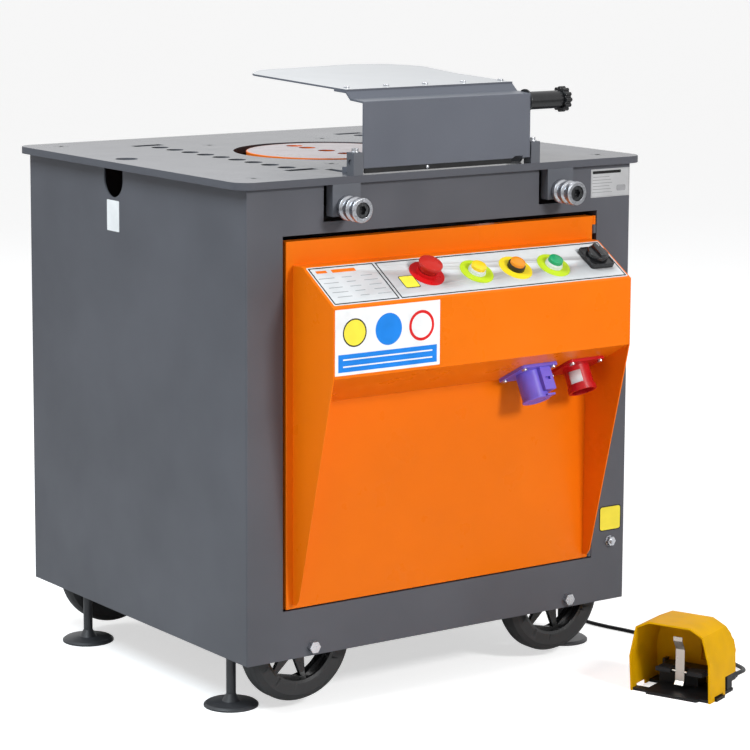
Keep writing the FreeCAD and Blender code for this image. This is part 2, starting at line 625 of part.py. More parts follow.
ALONG = {"x": Rotation(Vector(0, 1, 0), 90), "y": Rotation(Vector(1, 0, 0), -90), "z": Rotation()}


def box(x0, x1, y0, y1, z0, z1):
    block = doc.addObject("Part::Box", "block")
    bind(block, Length="(%s) - (%s)" % (x1, x0), Width="(%s) - (%s)" % (y1, y0),
         Height="(%s) - (%s)" % (z1, z0))
    bind_place(block, x0, y0, z0)
    return block


def rod(axis, x, y, z, radius, length):
    """Cylinder from the point given along +X, +Y or +Z."""
    bar = doc.addObject("Part::Cylinder", "rod")
    bar.Placement.Rotation = ALONG[axis]
    bind(bar, Radius=radius, Height=length)
    bind_place(bar, x, y, z)
    return bar


def taper(x, y, z, low, high, height):
    cone = doc.addObject("Part::Cone", "cone")
    bind(cone, Radius1=low, Radius2=high, Height=height)
    bind_place(cone, x, y, z)
    return cone


def hexagon(axis, x, y, z, flats, length):
    prism = doc.addObject("Part::Prism", "hexagon")
    prism.Polygon = 6
    prism.Placement.Rotation = ALONG[axis]
    bind(prism, Circumradius="(%s) / 2 / cos(30)" % flats, Height=length)
    bind_place(prism, x, y, z)
    return prism


def join(*solids):
    fused = doc.addObject("Part::MultiFuse", "fused")
    fused.Shapes = list(solids)
    return fused


def drill(base, *tools):
    result = doc.addObject("Part::Cut", "cut")
    result.Base = base
    result.Tool = join(*tools) if len(tools) > 1 else tools[0]
    return result


def group(solids):
    collection = doc.addObject("Part::Compound", "group")
    collection.Links = list(solids)
    return collection


FOUR = [(-1, -1), (1, -1), (-1, 1), (1, 1)]


# Table top


def table_top():
    body = new_body("table")
    plan = sketch_on(body, "XY")
    rectangle(plan, "-TableWidth / 2", "TableWidth / 2", "-TableDepth / 2", "TableDepth / 2")
    pad(body, plan, "TableThick", forward=False)
    soften(body, "TableCorner", upright)
    openings = sketch_on(body, "XY")
    circle(openings, "0", "0", "TableHole")
    for i, j in FOUR:
        rectangle(openings, "%d * PinRowX - SlotLength / 2" % i, "%d * PinRowX + SlotLength / 2" % i,
                  "%d * SlotRowY - SlotWidth / 2" % j, "%d * SlotRowY + SlotWidth / 2" % j)
    for i in (-1, 1):
        circle(openings, "%d * (CabinetWidth / 2 - LiftHoleIn)" % i, "(LiftSlotFrom + LiftSlotTo) / 2",
               "LiftHole")
    rectangle(openings, "SwitchSlotX - SwitchSlotWidth / 2", "SwitchSlotX + SwitchSlotWidth / 2",
              "SwitchSlotY - SwitchSlotLength / 2", "SwitchSlotY + SwitchSlotLength / 2")
    cut_through(body, openings)
    screws = sketch_on(body, "XY")
    for i, j in FOUR:
        circle(screws, "%d * CornerScrewX" % i, "%d * CornerScrewY" % j, "TableScrew + Running")
        circle(screws, "%d * GearboxScrewX" % i, "%d * GearboxScrewY" % j, "TableScrew + Running")
    cut_through(body, screws)
    hole = size.TableScrew + size.Running
    soften(body, "TableScrewHead - TableScrew",
           lambda edge: edge.Curve.TypeId == "Part::GeomCircle"
           and abs(edge.Curve.Radius - hole) < 1e-4 and abs(edge.Curve.Center.z) < 1e-4,
           "PartDesign::Chamfer")
    pins = sketch_on(body, "XY")
    for i in (-1, 1):
        circle(pins, "%d * PinRowX" % i, "-PinPitch * (PinCount - 1) / 2", "PinHole")
    first = cut_through(body, pins)
    repeat_along(body, first, pins, "V_Axis", "PinPitch * (PinCount - 1)", "PinCount")
    keep(body, "table_top")


def table_screws():
    screws = []
    places = [("%d * CornerScrewX" % i, "%d * CornerScrewY" % j) for i, j in FOUR]
    places += [("%d * GearboxScrewX" % i, "%d * GearboxScrewY" % j) for i, j in FOUR]
    head = "(TableScrewHead - TableScrew)"
    for x, y in places:
        cone = taper(x, y, "-" + head, "TableScrew", "TableScrewHead", head)
        shank = rod("z", x, y, "-TableScrewLength", "TableScrew", "TableScrewLength - %s" % head)
        key = hexagon("z", x, y, "-%s + 1" % head, "TableScrew * 1.3", "TableScrewHead")
        screws.append(drill(join(cone, shank), key))
    keep(group(screws), "table_screws")


# Cabinet


def cabinet_front():
    body = new_body("front")
    face = sketch_on(body, "XZ", "-CabinetDepth / 2")
    notches = []
    for x in ("RightRollerX", "LeftRollerX"):
        right = "%s + LugWidth / 2 + NotchSide" % x
        left = "%s - LugWidth / 2 - NotchSide" % x
        low = "LugLow - NotchLow"
        notches += [(right, "-TableThick"), (right, low), (left, low), (left, "-TableThick")]
    outline(face, [("-CabinetWidth / 2", "CabinetLow"), ("CabinetWidth / 2", "CabinetLow"),
                   ("CabinetWidth / 2", "-TableThick")] + notches + [("-CabinetWidth / 2", "-TableThick")])
    rectangle(face, "DoorLeft", "DoorRight", "DoorLow", "DoorTop")
    for i in (-1, 1):
        circle(face, "%d * WheelX" % i, "AxleZ", "Axle + Running")
    circle(face, "EarthX", "EarthZ", "EarthBolt + Running")
    pad(body, face, "Sheet")
    half = size.CabinetWidth / 2
    soften(body, "PanelRound", lambda edge: upright(edge) and abs(abs(edge.CenterOfMass.x) - half) < 1e-3
           and abs(edge.CenterOfMass.y + size.CabinetDepth / 2) < 1e-3)
    rim = sketch_on(body, "XZ", "-CabinetDepth / 2")
    rectangle(rim, "DoorLeft - Sheet", "DoorRight + Sheet", "DoorLow - Sheet", "DoorTop + Sheet")
    rectangle(rim, "DoorLeft", "DoorRight", "DoorLow", "DoorTop")
    pad(body, rim, "OpeningRim")
    keep(body, "front_panel")


def cabinet_side(side, label):
    """Side panel with its flange under the table, the lifting slot and weld nuts."""
    body = new_body("side")
    inside = "CabinetWidth / 2 - Sheet"
    face = sketch_on(body, "YZ", "%d * (%s)" % (side, inside))
    front, rear = "-CabinetDepth / 2 + Sheet", "CabinetDepth / 2 - Sheet"
    rectangle(face, front, rear, "CabinetLow", "-TableThick")
    pad(body, face, "Sheet", forward=side > 0)
    flange = sketch_on(body, "XY", "-TableThick")
    edges = sorted(["%d * (%s)" % (side, inside), "%d * (%s - TopFlange)" % (side, inside)],
                   key=lambda text: ("TopFlange" in text) == (side < 0))
    rectangle(flange, edges[0], edges[1], front, "LiftSlotFrom")
    rectangle(flange, edges[0], edges[1], "LiftSlotTo", rear)
    pad(body, flange, "Sheet", forward=False)
    bosses = sketch_on(body, "XY", "-TableThick - Sheet")
    for j in (-1, 1):
        circle(bosses, "%d * CornerScrewX" % side, "%d * CornerScrewY" % j, "NutBoss")
    pad(body, bosses, "NutBossDeep", forward=False)
    bores = sketch_on(body, "XY", "-TableThick")
    for j in (-1, 1):
        circle(bores, "%d * CornerScrewX" % side, "%d * CornerScrewY" % j, "TableScrew + Running")
    pocket(body, bores, "Sheet + NutBossDeep", forward=False)
    radius = "(LiftSlotTo - LiftSlotFrom) / 2"
    slot = sketch_on(body, "YZ")
    rectangle(slot, "LiftSlotFrom", "LiftSlotTo", "LiftSlotLow + %s" % radius, "0")
    cut_through(body, slot)
    slot_end = sketch_on(body, "YZ")
    circle(slot_end, "(LiftSlotFrom + LiftSlotTo) / 2", "LiftSlotLow + %s" % radius, radius)
    cut_through(body, slot_end)
    if side > 0:
        gland = sketch_on(body, "YZ")
        circle(gland, "GlandY", "GlandZ", "GlandThread + Running")
        cut_through(body, gland)
    keep(body, label)


def cabinet_rear():
    body = new_body("rear")
    face = sketch_on(body, "XZ", "CabinetDepth / 2 - Sheet")
    rectangle(face, "-CabinetWidth / 2", "CabinetWidth / 2", "CabinetLow", "-TableThick")
    for i in (-1, 1):
        circle(face, "%d * WheelX" % i, "AxleZ", "Axle + Running")
    pad(body, face, "Sheet")
    keep(body, "rear_panel")


def base_rail(side, label):
    """Channel behind a pair of wheels, which also carries two feet."""
    body = new_body("rail")
    face = "%d * RailFace" % side
    web = "%s - %d * Sheet" % (face, side)
    lip = "%s - %d * RailFlange" % (face, side)
    section = sketch_on(body, "YZ")
    outline(section, [(face, "CabinetLow"), (lip, "CabinetLow"), (lip, "CabinetLow + Sheet"),
                      (web, "CabinetLow + Sheet"), (web, "RailTop - Sheet"), (lip, "RailTop - Sheet"),
                      (lip, "RailTop"), (face, "RailTop")])
    pad_both(body, section, "CabinetWidth - 2 * Sheet")
    bushes = sketch_on(body, "XY", "CabinetLow + Sheet")
    for i in (-1, 1):
        circle(bushes, "%d * FootX" % i, "%d * FootY" % side, "FootBush")
    pad(body, bushes, "FootBushTop - CabinetLow - Sheet")
    rods = sketch_on(body, "XY")
    for i in (-1, 1):
        circle(rods, "%d * FootX" % i, "%d * FootY" % side, "FootRod + Running")
    cut_through(body, rods)
    axles = sketch_on(body, "XZ", web)
    for i in (-1, 1):
        circle(axles, "%d * WheelX" % i, "AxleZ", "Axle + Running")
    pocket(body, axles, "Sheet", forward=side > 0)
    keep(body, label)


# Wheels and feet


def wheel(i, j, label):
    """Rubber tyre on a spoked rim, turning about Y."""
    half = "WheelWidth / 2"
    shoulder, bend = "WheelRadius - TyreShoulder", "WheelRadius - TyreRound"
    tyre = turned("tyre", [("RimRadius", "1 - %s" % half), (shoulder, "-%s" % half),
                           (bend, "TyreRound - %s" % half), ("WheelRadius", "TreadIn - %s" % half),
                           ("WheelRadius", "%s - TreadIn" % half), (bend, "%s - TyreRound" % half),
                           (shoulder, half), ("RimRadius", "%s - 1" % half)])
    inner = "RimRadius - RimWall"
    rim = turned("rim", [("Axle + Running", "-HubHalf"), ("HubRadius", "-HubHalf"),
                         ("HubRadius + 2", "-DishHalf"), (inner, "-DishHalf"), (inner, "-%s + 3" % half),
                         ("RimRadius", "-%s + 1" % half), ("RimRadius", "%s - 1" % half),
                         (inner, "%s - 3" % half), (inner, "DishHalf"), ("HubRadius + 2", "DishHalf"),
                         ("HubRadius", "HubHalf"), ("Axle + Running", "HubHalf")])
    gap = sketch_on(rim, "XY")
    spread = math.tan(math.pi / size.SpokeCount)
    outer_half = "(RimRadius - 8) * %.4f" % (0.8 * spread)
    outline(gap, [("HubRadius + 5", "-1.5"), ("RimRadius - 11", "-" + outer_half),
                  ("RimRadius - 11", outer_half), ("HubRadius + 5", "1.5")])
    repeat_round(rim, cut_through(rim, gap), gap, "SpokeCount")
    both = group([tyre, rim])
    both.Placement.Rotation = Rotation(Vector(1, 0, 0), 90)
    bind_place(both, "%d * WheelX" % i, "%d * WheelY" % j, "AxleZ")
    keep(both, label)


def wheel_bolts():
    pieces = []
    half = "CabinetDepth / 2"
    rail = "RailFace"
    for i, j in FOUR:
        x = "%d * WheelX" % i
        outside = "%s + BoltHead" % half
        nut = "%s - Sheet - BoltHead" % rail

        def along(near, far):
            """Lower coordinate of a stretch that lies between two distances from the middle."""
            return near if j > 0 else "-(%s)" % far

        head = hexagon("y", x, along(half, outside), "AxleZ", "BoltFlats", "BoltHead")
        shank = rod("y", x, along(nut, half), "AxleZ", "Axle", "%s - (%s)" % (half, nut))
        nut_body = hexagon("y", x, along(nut, "%s - Sheet" % rail), "AxleZ", "BoltFlats", "BoltHead")
        pieces.append(join(head, shank, nut_body))
        for near, far in ((rail, "%s + WheelSpacer - Seat" % rail),
                          ("WheelY + HubHalf + Seat", "%s - Sheet" % half)):
            sleeve = rod("y", x, along(near, far), "AxleZ", "SpacerRadius", "(%s) - (%s)" % (far, near))
            bore = rod("y", x, along(near, far), "AxleZ", "Axle + Running", "(%s) - (%s)" % (far, near))
            pieces.append(drill(sleeve, bore))
    keep(group(pieces), "wheel_bolts")


def foot(i, j, label):
    body = turned("foot", [("0", "0"), ("FootRadius", "0"), ("FootRadius", "3"),
                           ("FootRadius - 4", "6"), ("FootRod + 7", "8"), ("FootRod", "20"),
                           ("FootRod", "FootRodTop - FloorLevel - 1"),
                           ("FootRod - 1", "FootRodTop - FloorLevel"),
                           ("0", "FootRodTop - FloorLevel")])
    bind_place(body, "%d * FootX" % i, "%d * FootY" % j, "FloorLevel")
    keep(body, label)


def earth_bolt():
    face = "-CabinetDepth / 2"
    washer = rod("y", "EarthX", "%s - 1.5" % face, "EarthZ", "9", "1.5")
    head = hexagon("y", "EarthX", "%s - 8" % face, "EarthZ", "15", "6.5")
    shank = rod("y", "EarthX", "%s - 12" % face, "EarthZ", "EarthBolt", "40")
    nut = hexagon("y", "EarthX", "%s + Sheet" % face, "EarthZ", "15", "6.5")
    keep(join(washer, head, shank, nut), "earth_bolt")


# Rollers on the table's front edge


def roller_lugs():
    lugs = []
    for x in ("LeftRollerX", "RightRollerX"):
        block = box("%s - LugWidth / 2" % x, "%s + LugWidth / 2" % x, "-TableDepth / 2",
                    "-TableDepth / 2 + LugThick", "LugLow", "-TableThick")
        bore = rod("y", x, "-TableDepth / 2 - 1", "RollerZ", "RollerScrew + Running", "LugThick + 2")
        lugs.append(drill(block, bore))
    keep(group(lugs), "roller_lugs")


def roller(x, label):
    """Roller with three flanges and two grooves, facing -Y."""
    fifth = "RollerLength / 5"
    profile = [("RollerScrew + Running", "Seat"), ("RollerRadius - 1.5", "Seat"), ("RollerRadius", "1.8")]
    for k in (1, 3):
        start = "%d * %s" % (k, fifth)
        end = "%d * %s" % (k + 1, fifth)
        profile += [("RollerRadius", "%s - 1.5" % start), ("RollerRadius - 1.5", start),
                    ("RollerGroove", "%s + 1.5" % start), ("RollerGroove", "%s - 1.5" % end),
                    ("RollerRadius - 1.5", end), ("RollerRadius", "%s + 1.5" % end)]
    profile += [("RollerRadius", "RollerLength - 1.5"), ("RollerRadius - 1.5", "RollerLength"),
                ("RollerScrewHead + 1", "RollerLength"),
                ("RollerScrewHead + 1", "RollerLength - RollerRecess"),
                ("RollerScrew + Running", "RollerLength - RollerRecess")]
    body = turned("roller", profile)
    body.Placement.Rotation = Rotation(Vector(1, 0, 0), 90)
    bind_place(body, x, "-TableDepth / 2", "RollerZ")
    keep(body, label)


def roller_screws():
    screws = []
    head = "(RollerRecess - 2)"
    for x in ("LeftRollerX", "RightRollerX"):
        under = "-TableDepth / 2 - RollerLength + RollerRecess - Seat"
        shank = rod("y", x, under, "RollerZ", "RollerScrew",
                    "RollerLength - RollerRecess + Seat + LugThick")
        top = rod("y", x, "%s - %s" % (under, head), "RollerZ", "RollerScrewHead", head)
        key = hexagon("y", x, "%s - %s - 1" % (under, head), "RollerZ", "RollerScrewHead * 1.1", "9")
        screws.append(drill(join(shank, top), key))
    keep(group(screws), "roller_screws")


# Bending disc and its drive


def bending_disc():
    body = turned("disc", [("DiscBore", "0"), ("DiscRadius - 1", "0"), ("DiscRadius", "-1"),
                           ("DiscRadius", "-DiscThick"), ("DiscHub", "-DiscThick"),
                           ("DiscHub", "DiscHubLow"), ("Spindle + Running", "DiscHubLow"),
                           ("Spindle + Running", "-BoreDepth"), ("DiscBore", "-BoreDepth")])
    bores = sketch_on(body, "XY")
    for y in ("-DiscNear", "DiscNear", "DiscFar"):
        circle(bores, "0", y, "DiscBore")
    cut_through(body, bores)
    keep(body, "bending_disc")


def spindle():
    body = turned("spindle", [("0", "-BoreDepth - Seat"), ("Spindle", "-BoreDepth - Seat"),
                              ("Spindle", "DiscHubLow - Seat"), ("SpindleSeat", "DiscHubLow - Seat"),
                              ("SpindleSeat", "GearTop - GearThick - 2"),
                              ("Spindle", "GearTop - GearThick - 2"), ("Spindle", "SpindleLow"),
                              ("0", "SpindleLow")])
    keep(body, "spindle")


def gear_face(teeth, module, backlash, turn):
    """Face of a spur gear with involute flanks of 20 degrees."""
    pressure = math.radians(20)
    pitch = module * teeth / 2
    base = pitch * math.cos(pressure)
    tip = pitch + module
    root = pitch - 1.25 * module
    half_tooth = math.pi / (2 * teeth) - backlash / (2 * pitch)
    flank_zero = half_tooth + math.tan(pressure) - pressure

    def on_flank(radius, side):
        roll = math.sqrt(max(radius / base, 1) ** 2 - 1)
        return flank_zero - (roll - math.atan(roll)), radius, side

    def point(angle, radius):
        return Vector(radius * math.cos(angle), radius * math.sin(angle), 0)

    edges = []
    start = max(base, root)
    for k in range(teeth):
        middle = turn + 2 * math.pi * k / teeth
        ends = {}
        for side in (-1, 1):
            ends[side] = [point(middle + side * on_flank(r, side)[0], r)
                          for r in (start, (start + tip) / 2, tip)]
            if root < base:
                foot_angle = middle + side * on_flank(start, side)[0]
                edges.append(Part.LineSegment(point(foot_angle, root), ends[side][0]).toShape())
            edges.append(Part.Arc(*ends[side]).toShape())
        edges.append(Part.Arc(ends[-1][2], point(middle, tip), ends[1][2]).toShape())
        foot_here = middle + on_flank(start, 1)[0]
        foot_next = middle + 2 * math.pi / teeth - on_flank(start, 1)[0]
        edges.append(Part.Arc(point(foot_here, min(start, root)),
                              point((foot_here + foot_next) / 2, root),
                              point(foot_next, min(start, root))).toShape())
    return Part.Face(Part.Wire(Part.__sortEdges__(edges)))


def gears():
    """Gear of the disc and the pinion behind it, in mesh."""
    centres = size.GearModule * (size.WheelTeeth + size.PinionTeeth) / 2
    low = size.GearTop - size.GearThick
    wheel_teeth, pinion_teeth = int(size.WheelTeeth), int(size.PinionTeeth)
    face = gear_face(wheel_teeth, size.GearModule, size.Backlash / 2, math.pi / 2)
    solid = face.extrude(Vector(0, 0, size.GearThick))
    solid = solid.cut(Part.makeCylinder(size.SpindleSeat + size.Running, size.GearThick))
    web = size.GearModule * (size.WheelTeeth - 5) / 2
    groove = Part.makeCylinder(web, 7).cut(Part.makeCylinder(size.SpindleSeat + 14, 7))
    for lift in (0, size.GearThick - 7):
        solid = solid.cut(groove.translated(Vector(0, 0, lift)))
    gear = doc.addObject("Part::Feature", "gear")
    gear.Shape = solid
    gear.Placement = Placement(Vector(0, 0, low), Rotation())
    keep(gear, "bull_gear")
    turn = -math.pi / 2 + math.pi / pinion_teeth
    face = gear_face(pinion_teeth, size.GearModule, size.Backlash / 2, turn)
    teeth = face.extrude(Vector(0, 0, size.GearThick))
    cover_low = size.CoverTop - size.CoverThick
    top = cover_low + 6 - low
    bottom = size.HousingLow - 30 - low
    shaft = Part.makeCylinder(size.PinionShaft, top - bottom, Vector(0, 0, bottom))
    pinion = doc.addObject("Part::Feature", "pinion")
    pinion.Shape = teeth.fuse(shaft).removeSplitter()
    pinion.Placement = Placement(Vector(0, centres, low), Rotation())
    keep(pinion, "pinion_shaft")


CENTRES = "GearModule * (WheelTeeth + PinionTeeth) / 2"
GEAR_TIP = "GearModule * (WheelTeeth + 2) / 2"
PINION_TIP = "GearModule * (PinionTeeth + 2) / 2"


def gearbox():
    body = new_body("housing")
    top = "CoverTop - CoverThick"
    wide = "(%s + GearRoom + HousingWall)" % GEAR_TIP
    rear = "%s + %s + GearRoom + HousingWall" % (CENTRES, PINION_TIP)
    plan = sketch_on(body, "XY", top)
    rectangle(plan, "-" + wide, wide, "-" + wide, rear)
    pad(body, plan, "%s - HousingLow" % top, forward=False)
    soften(body, "HousingCorner", upright)
    boss = sketch_on(body, "XY", "HousingLow")
    circle(boss, "0", "0", "BearingBoss")
    pad(body, boss, "HousingLow - SpindleLow + 6", forward=False)
    for y, radius in (("0", "%s + GearRoom" % GEAR_TIP), (CENTRES, "%s + GearRoom" % PINION_TIP)):
        cavity = sketch_on(body, "XY", top)
        circle(cavity, "0", y, radius)
        pocket(body, cavity, "%s - HousingLow - HousingWall" % top, forward=False)
    journal = sketch_on(body, "XY", "HousingLow + HousingWall")
    circle(journal, "0", "0", "Spindle + Running")
    pocket(body, journal, "HousingLow + HousingWall - SpindleLow + Seat", forward=False)
    shaft = sketch_on(body, "XY")
    circle(shaft, "0", CENTRES, "PinionShaft + Running")
    cut_through(body, shaft)
    keep(body, "gearbox_housing")

    cover = new_body("cover")
    plan = sketch_on(cover, "XY", "CoverTop")
    rectangle(plan, "-CoverX", "CoverX", "CoverFront", "CoverRear")
    pad(cover, plan, "CoverThick", forward=False)
    soften(cover, "CoverBoss", upright)
    posts = sketch_on(cover, "XY", "CoverTop")
    for i, j in FOUR:
        circle(posts, "%d * GearboxScrewX" % i, "%d * GearboxScrewY" % j, "CoverBoss")
    pad(cover, posts, "-TableThick - CoverTop")
    threads = sketch_on(cover, "XY", "-TableThick")
    for i, j in FOUR:
        circle(threads, "%d * GearboxScrewX" % i, "%d * GearboxScrewY" % j, "TableScrew + Running")
    pocket(cover, threads, "TableScrewLength - TableThick + 2", forward=False)
    neck = sketch_on(cover, "XY")
    circle(neck, "0", "0", "DiscHub + 0.5")
    cut_through(cover, neck)
    seat = sketch_on(cover, "XY", top)
    circle(seat, "0", CENTRES, "PinionShaft + Running")
    pocket(cover, seat, "7", forward=True)
    keep(cover, "gearbox_cover")


def motor():
    """Gear motor that hangs under the pinion, with ribs, fan cover and terminal box."""
    body = turned("motor", [("0", "HousingLow"), ("MotorFlange", "HousingLow"),
                            ("MotorFlange", "HousingLow - MotorFlangeThick"),
                            ("MotorRadius", "HousingLow - MotorFlangeThick - MotorNeck"),
                            ("MotorRadius", "MotorLow + FanCover"),
                            ("MotorRadius + FanCoverOut", "MotorLow + FanCover"),
                            ("MotorRadius + FanCoverOut", "MotorLow + FanCoverEdge"),
                            ("MotorRadius", "MotorLow"), ("0", "MotorLow")])
    rib = sketch_on(body, "XY", "MotorLow + FanCover")
    rectangle(rib, "MotorRadius - 3", "MotorRadius + RibHeight", "-RibThick / 2", "RibThick / 2")
    first = pad(body, rib, "HousingLow - MotorLow - FanCover - RibClear")
    repeat_round(body, first, rib, "MotorRibs")
    terminals = sketch_on(body, "XZ", "-(MotorRadius + TerminalOut)")
    rectangle(terminals, "-TerminalWidth / 2", "TerminalWidth / 2", "MotorLow + TerminalUp",
              "MotorLow + TerminalUp + TerminalHigh")
    pad(body, terminals, "TerminalOut + 4")
    bore = sketch_on(body, "XY", "HousingLow")
    circle(bore, "0", "0", "PinionShaft + Running")
    pocket(body, bore, "30 + Seat", forward=False)
    bind_place(body, "0", CENTRES, "0")
    keep(body, "motor")


# Guard


def thicken(path, thickness):
    """Closed section of a folded sheet whose outer side follows the path."""
    normals = []
    for (x0, y0), (x1, y1) in zip(path, path[1:]):
        length = math.hypot(x1 - x0, y1 - y0)
        normals.append(((y1 - y0) / length, -(x1 - x0) / length))
    inner = []
    for k, (x, y) in enumerate(path):
        a = normals[max(k - 1, 0)]
        b = normals[min(k, len(normals) - 1)]
        scale = thickness / (1 + a[0] * b[0] + a[1] * b[1])
        inner.append((x + (a[0] + b[0]) * scale, y + (a[1] + b[1]) * scale))
    return list(path) + inner[::-1]


FLANGE_RISE = "(FlangeRear - StepY) * tan(GuardTilt)"


def guard_bracket():
    body = new_body("bracket")
    rise = (size.FlangeRear - size.StepY) * math.tan(math.radians(size.GuardTilt))
    path = [(size.GuardFront + size.BracketFoot, size.BracketLow), (size.GuardFront, size.BracketLow),
            (size.GuardFront, size.BracketTop), (size.ShelfY, size.BracketTop + size.ShelfRise),
            (size.StepY, size.StepZ), (size.FlangeRear, size.StepZ + rise)]
    section = sketch_on(body, "YZ", "GuardLeft")
    outline(section, thicken(path, size.GuardSheet))
    pad(body, section, "GuardRight - GuardLeft")
    folds = [(size.GuardFront, size.BracketLow), (size.GuardFront, size.BracketTop), (size.StepY, size.StepZ)]
    soften(body, "FoldRound", lambda edge: along_x_at(edge, folds))
    inner = "GuardFront + GuardSheet"
    arm = [(inner, "BracketLow"), ("PivotY + ArmNear - 2", "BracketLow - 4"),
           ("PivotY + ArmNear + 3", "Seat"), ("PivotY + ArmDeep", "Seat"), ("PivotY + ArmDeep", "ArmHigh"),
           ("PivotY + ArmNear", "ArmHigh + 4"), ("PivotY + ArmNear - 3", "PivotZ + ArmUp"),
           (inner, "PivotZ + ArmUp")]
    finger = [("PivotY + FingerFrom", "-FingerLow"), ("PivotY + ArmDeep", "4 - FingerLow"),
              ("PivotY + ArmDeep", "ArmHigh"), ("PivotY + FingerFrom", "ArmHigh")]
    left = sketch_on(body, "YZ", "GuardLeft")
    outline(left, arm)
    pad(body, left, "GuardSheet")
    dip = sketch_on(body, "YZ", "GuardLeft")
    outline(dip, finger)
    pad(body, dip, "GuardSheet")
    right = sketch_on(body, "YZ", "GuardRight - GuardSheet")
    outline(right, arm)
    pad(body, right, "GuardSheet")
    end_plate = sketch_on(body, "YZ", "GuardRight - GuardSheet")
    rectangle(end_plate, inner, "ShelfY - 2", "HandleZ - 40", "BracketTop - 1")
    pad(body, end_plate, "GuardSheet")
    pins = sketch_on(body, "YZ")
    circle(pins, "PivotY", "PivotZ", "GuardPin + Running")
    cut_through(body, pins)
    window = sketch_on(body, "XZ", "GuardFront")
    outline(window, [("GuardRight - WindowIn - WindowWide", "BracketLow"),
                     ("GuardRight - WindowIn - WindowWide + 6", "BracketLow + 4"),
                     ("GuardRight - WindowIn", "BracketLow + 4"), ("GuardRight - WindowIn", "BracketLow")])
    pocket(body, window, "14", forward=True)
    holes = sketch_on(body, "XY", "StepZ - 8")
    for k in range(5):
        circle(holes, screw_x(k), "GuardScrewY", "GuardScrew + Seat")
    pocket(body, holes, "20", forward=True)
    keep(body, "guard_bracket")


def screw_x(k):
    return "GuardLeft + ScrewIn + %d * (GuardRight - GuardLeft - ScrewIn - 6) / 4" % k


def guard_sheet():
    """Flat cover over the disc, tilted up a little to the back."""
    body = new_body("sheet")
    plan = sketch_on(body, "XY")
    outline(plan, [("GuardLeft", "0"), ("GuardRight", "0"), ("GuardRight", "SheetDeep - SheetWingFrom"),
                   ("GuardRight + SheetWing", "SheetDeep - SheetWingTo"),
                   ("GuardRight - 10", "SheetDeep - 21"), ("GuardRight - 76", "SheetDeep"),
                   ("GuardLeft + 153", "SheetDeep - 16"), ("GuardLeft + 49", "SheetDeep - 29"),
                   ("GuardLeft", "SheetDeep - SheetLeftTo")])
    pad(body, plan, "GuardSheet")
    soften(body, "SheetRound", lambda edge: upright(edge) and edge.CenterOfMass.y > 1)
    screws = sketch_on(body, "XY")
    for k in range(5):
        circle(screws, screw_x(k), "(GuardScrewY - StepY) / cos(GuardTilt)", "GuardScrew + Running")
    cut_through(body, screws)
    body.Placement.Rotation = Rotation(Vector(1, 0, 0), size.GuardTilt)
    bind_place(body, "0", "StepY", "StepZ + 0.02")
    keep(body, "guard_sheet")


def guard_screws():
    """Pan-head screws, square to the tilted sheet."""
    screws = []
    for k in range(5):
        shank = rod("z", screw_x(k), "(GuardScrewY - StepY) / cos(GuardTilt)", "-GuardSheet - 3",
                    "GuardScrew", "2 * GuardSheet + 3.1")
        head = rod("z", screw_x(k), "(GuardScrewY - StepY) / cos(GuardTilt)", "GuardSheet + 0.02",
                   "2 * GuardScrew", "2.6")
        screws.append(join(shank, head))
    all_screws = group(screws)
    all_screws.Placement.Rotation = Rotation(Vector(1, 0, 0), size.GuardTilt)
    bind_place(all_screws, "0", "StepY", "StepZ")
    keep(all_screws, "guard_screws")


LEFT_POST = ("GuardLeft - PostGapLeft - PostWidth", "GuardLeft - PostGapLeft")
RIGHT_POST = ("GuardRight + PostGapRight", "GuardRight + PostGapRight + PostWidth")


def guard_posts():
    posts, screws, pins = [], [], []
    for left, right in (LEFT_POST, RIGHT_POST):
        middle = "(%s + %s) / 2" % (left, right)
        block = box(left, right, "PivotY - PostDepth / 2", "PivotY + PostDepth / 2", "0", "PostHeight")
        bore = rod("x", "%s - 1" % left, "PivotY", "PivotZ", "GuardPin + Running", "PostWidth + 2")
        thread = rod("z", middle, "PivotY", "PivotZ + GuardPin + 1", "PostScrew + Running", "PostHeight")
        posts.append(drill(block, bore, thread))
        shank = rod("z", middle, "PivotY", "PivotZ + GuardPin + 1.5", "PostScrew",
                    "PostHeight - PivotZ - GuardPin - 1.5")
        washer = rod("z", middle, "PivotY", "PostHeight", "7.5", "1.5")
        head = rod("z", middle, "PivotY", "PostHeight + 1.5", "5.5", "5")
        screws.append(join(shank, washer, head))
    pins.append(rod("x", "%s + 2" % LEFT_POST[0], "PivotY", "PivotZ", "GuardPin", "PostWidth + 5"))
    pins.append(rod("x", "GuardRight - GuardSheet - 1", "PivotY", "PivotZ", "GuardPin", "PostWidth + 5"))
    keep(group(posts), "guard_posts")
    keep(group(screws), "post_screws")
    keep(group(pins), "guard_pins")


def guard_switch():
    """Switch under the table whose plunger feels the guard's finger."""
    front = "PivotY + SwitchBack"
    case = box("GuardLeft - SwitchGap - SwitchWide", "GuardLeft - SwitchGap", front,
               "%s + SwitchDeep" % front, "-TableThick - SwitchHigh", "-TableThick")
    plunger = rod("x", "GuardLeft - SwitchGap - 1", "PivotY + (FingerFrom + ArmDeep) / 2",
                  "6 - FingerLow", "3", "SwitchGap + 1 - Seat")
    keep(join(case, plunger), "guard_switch")


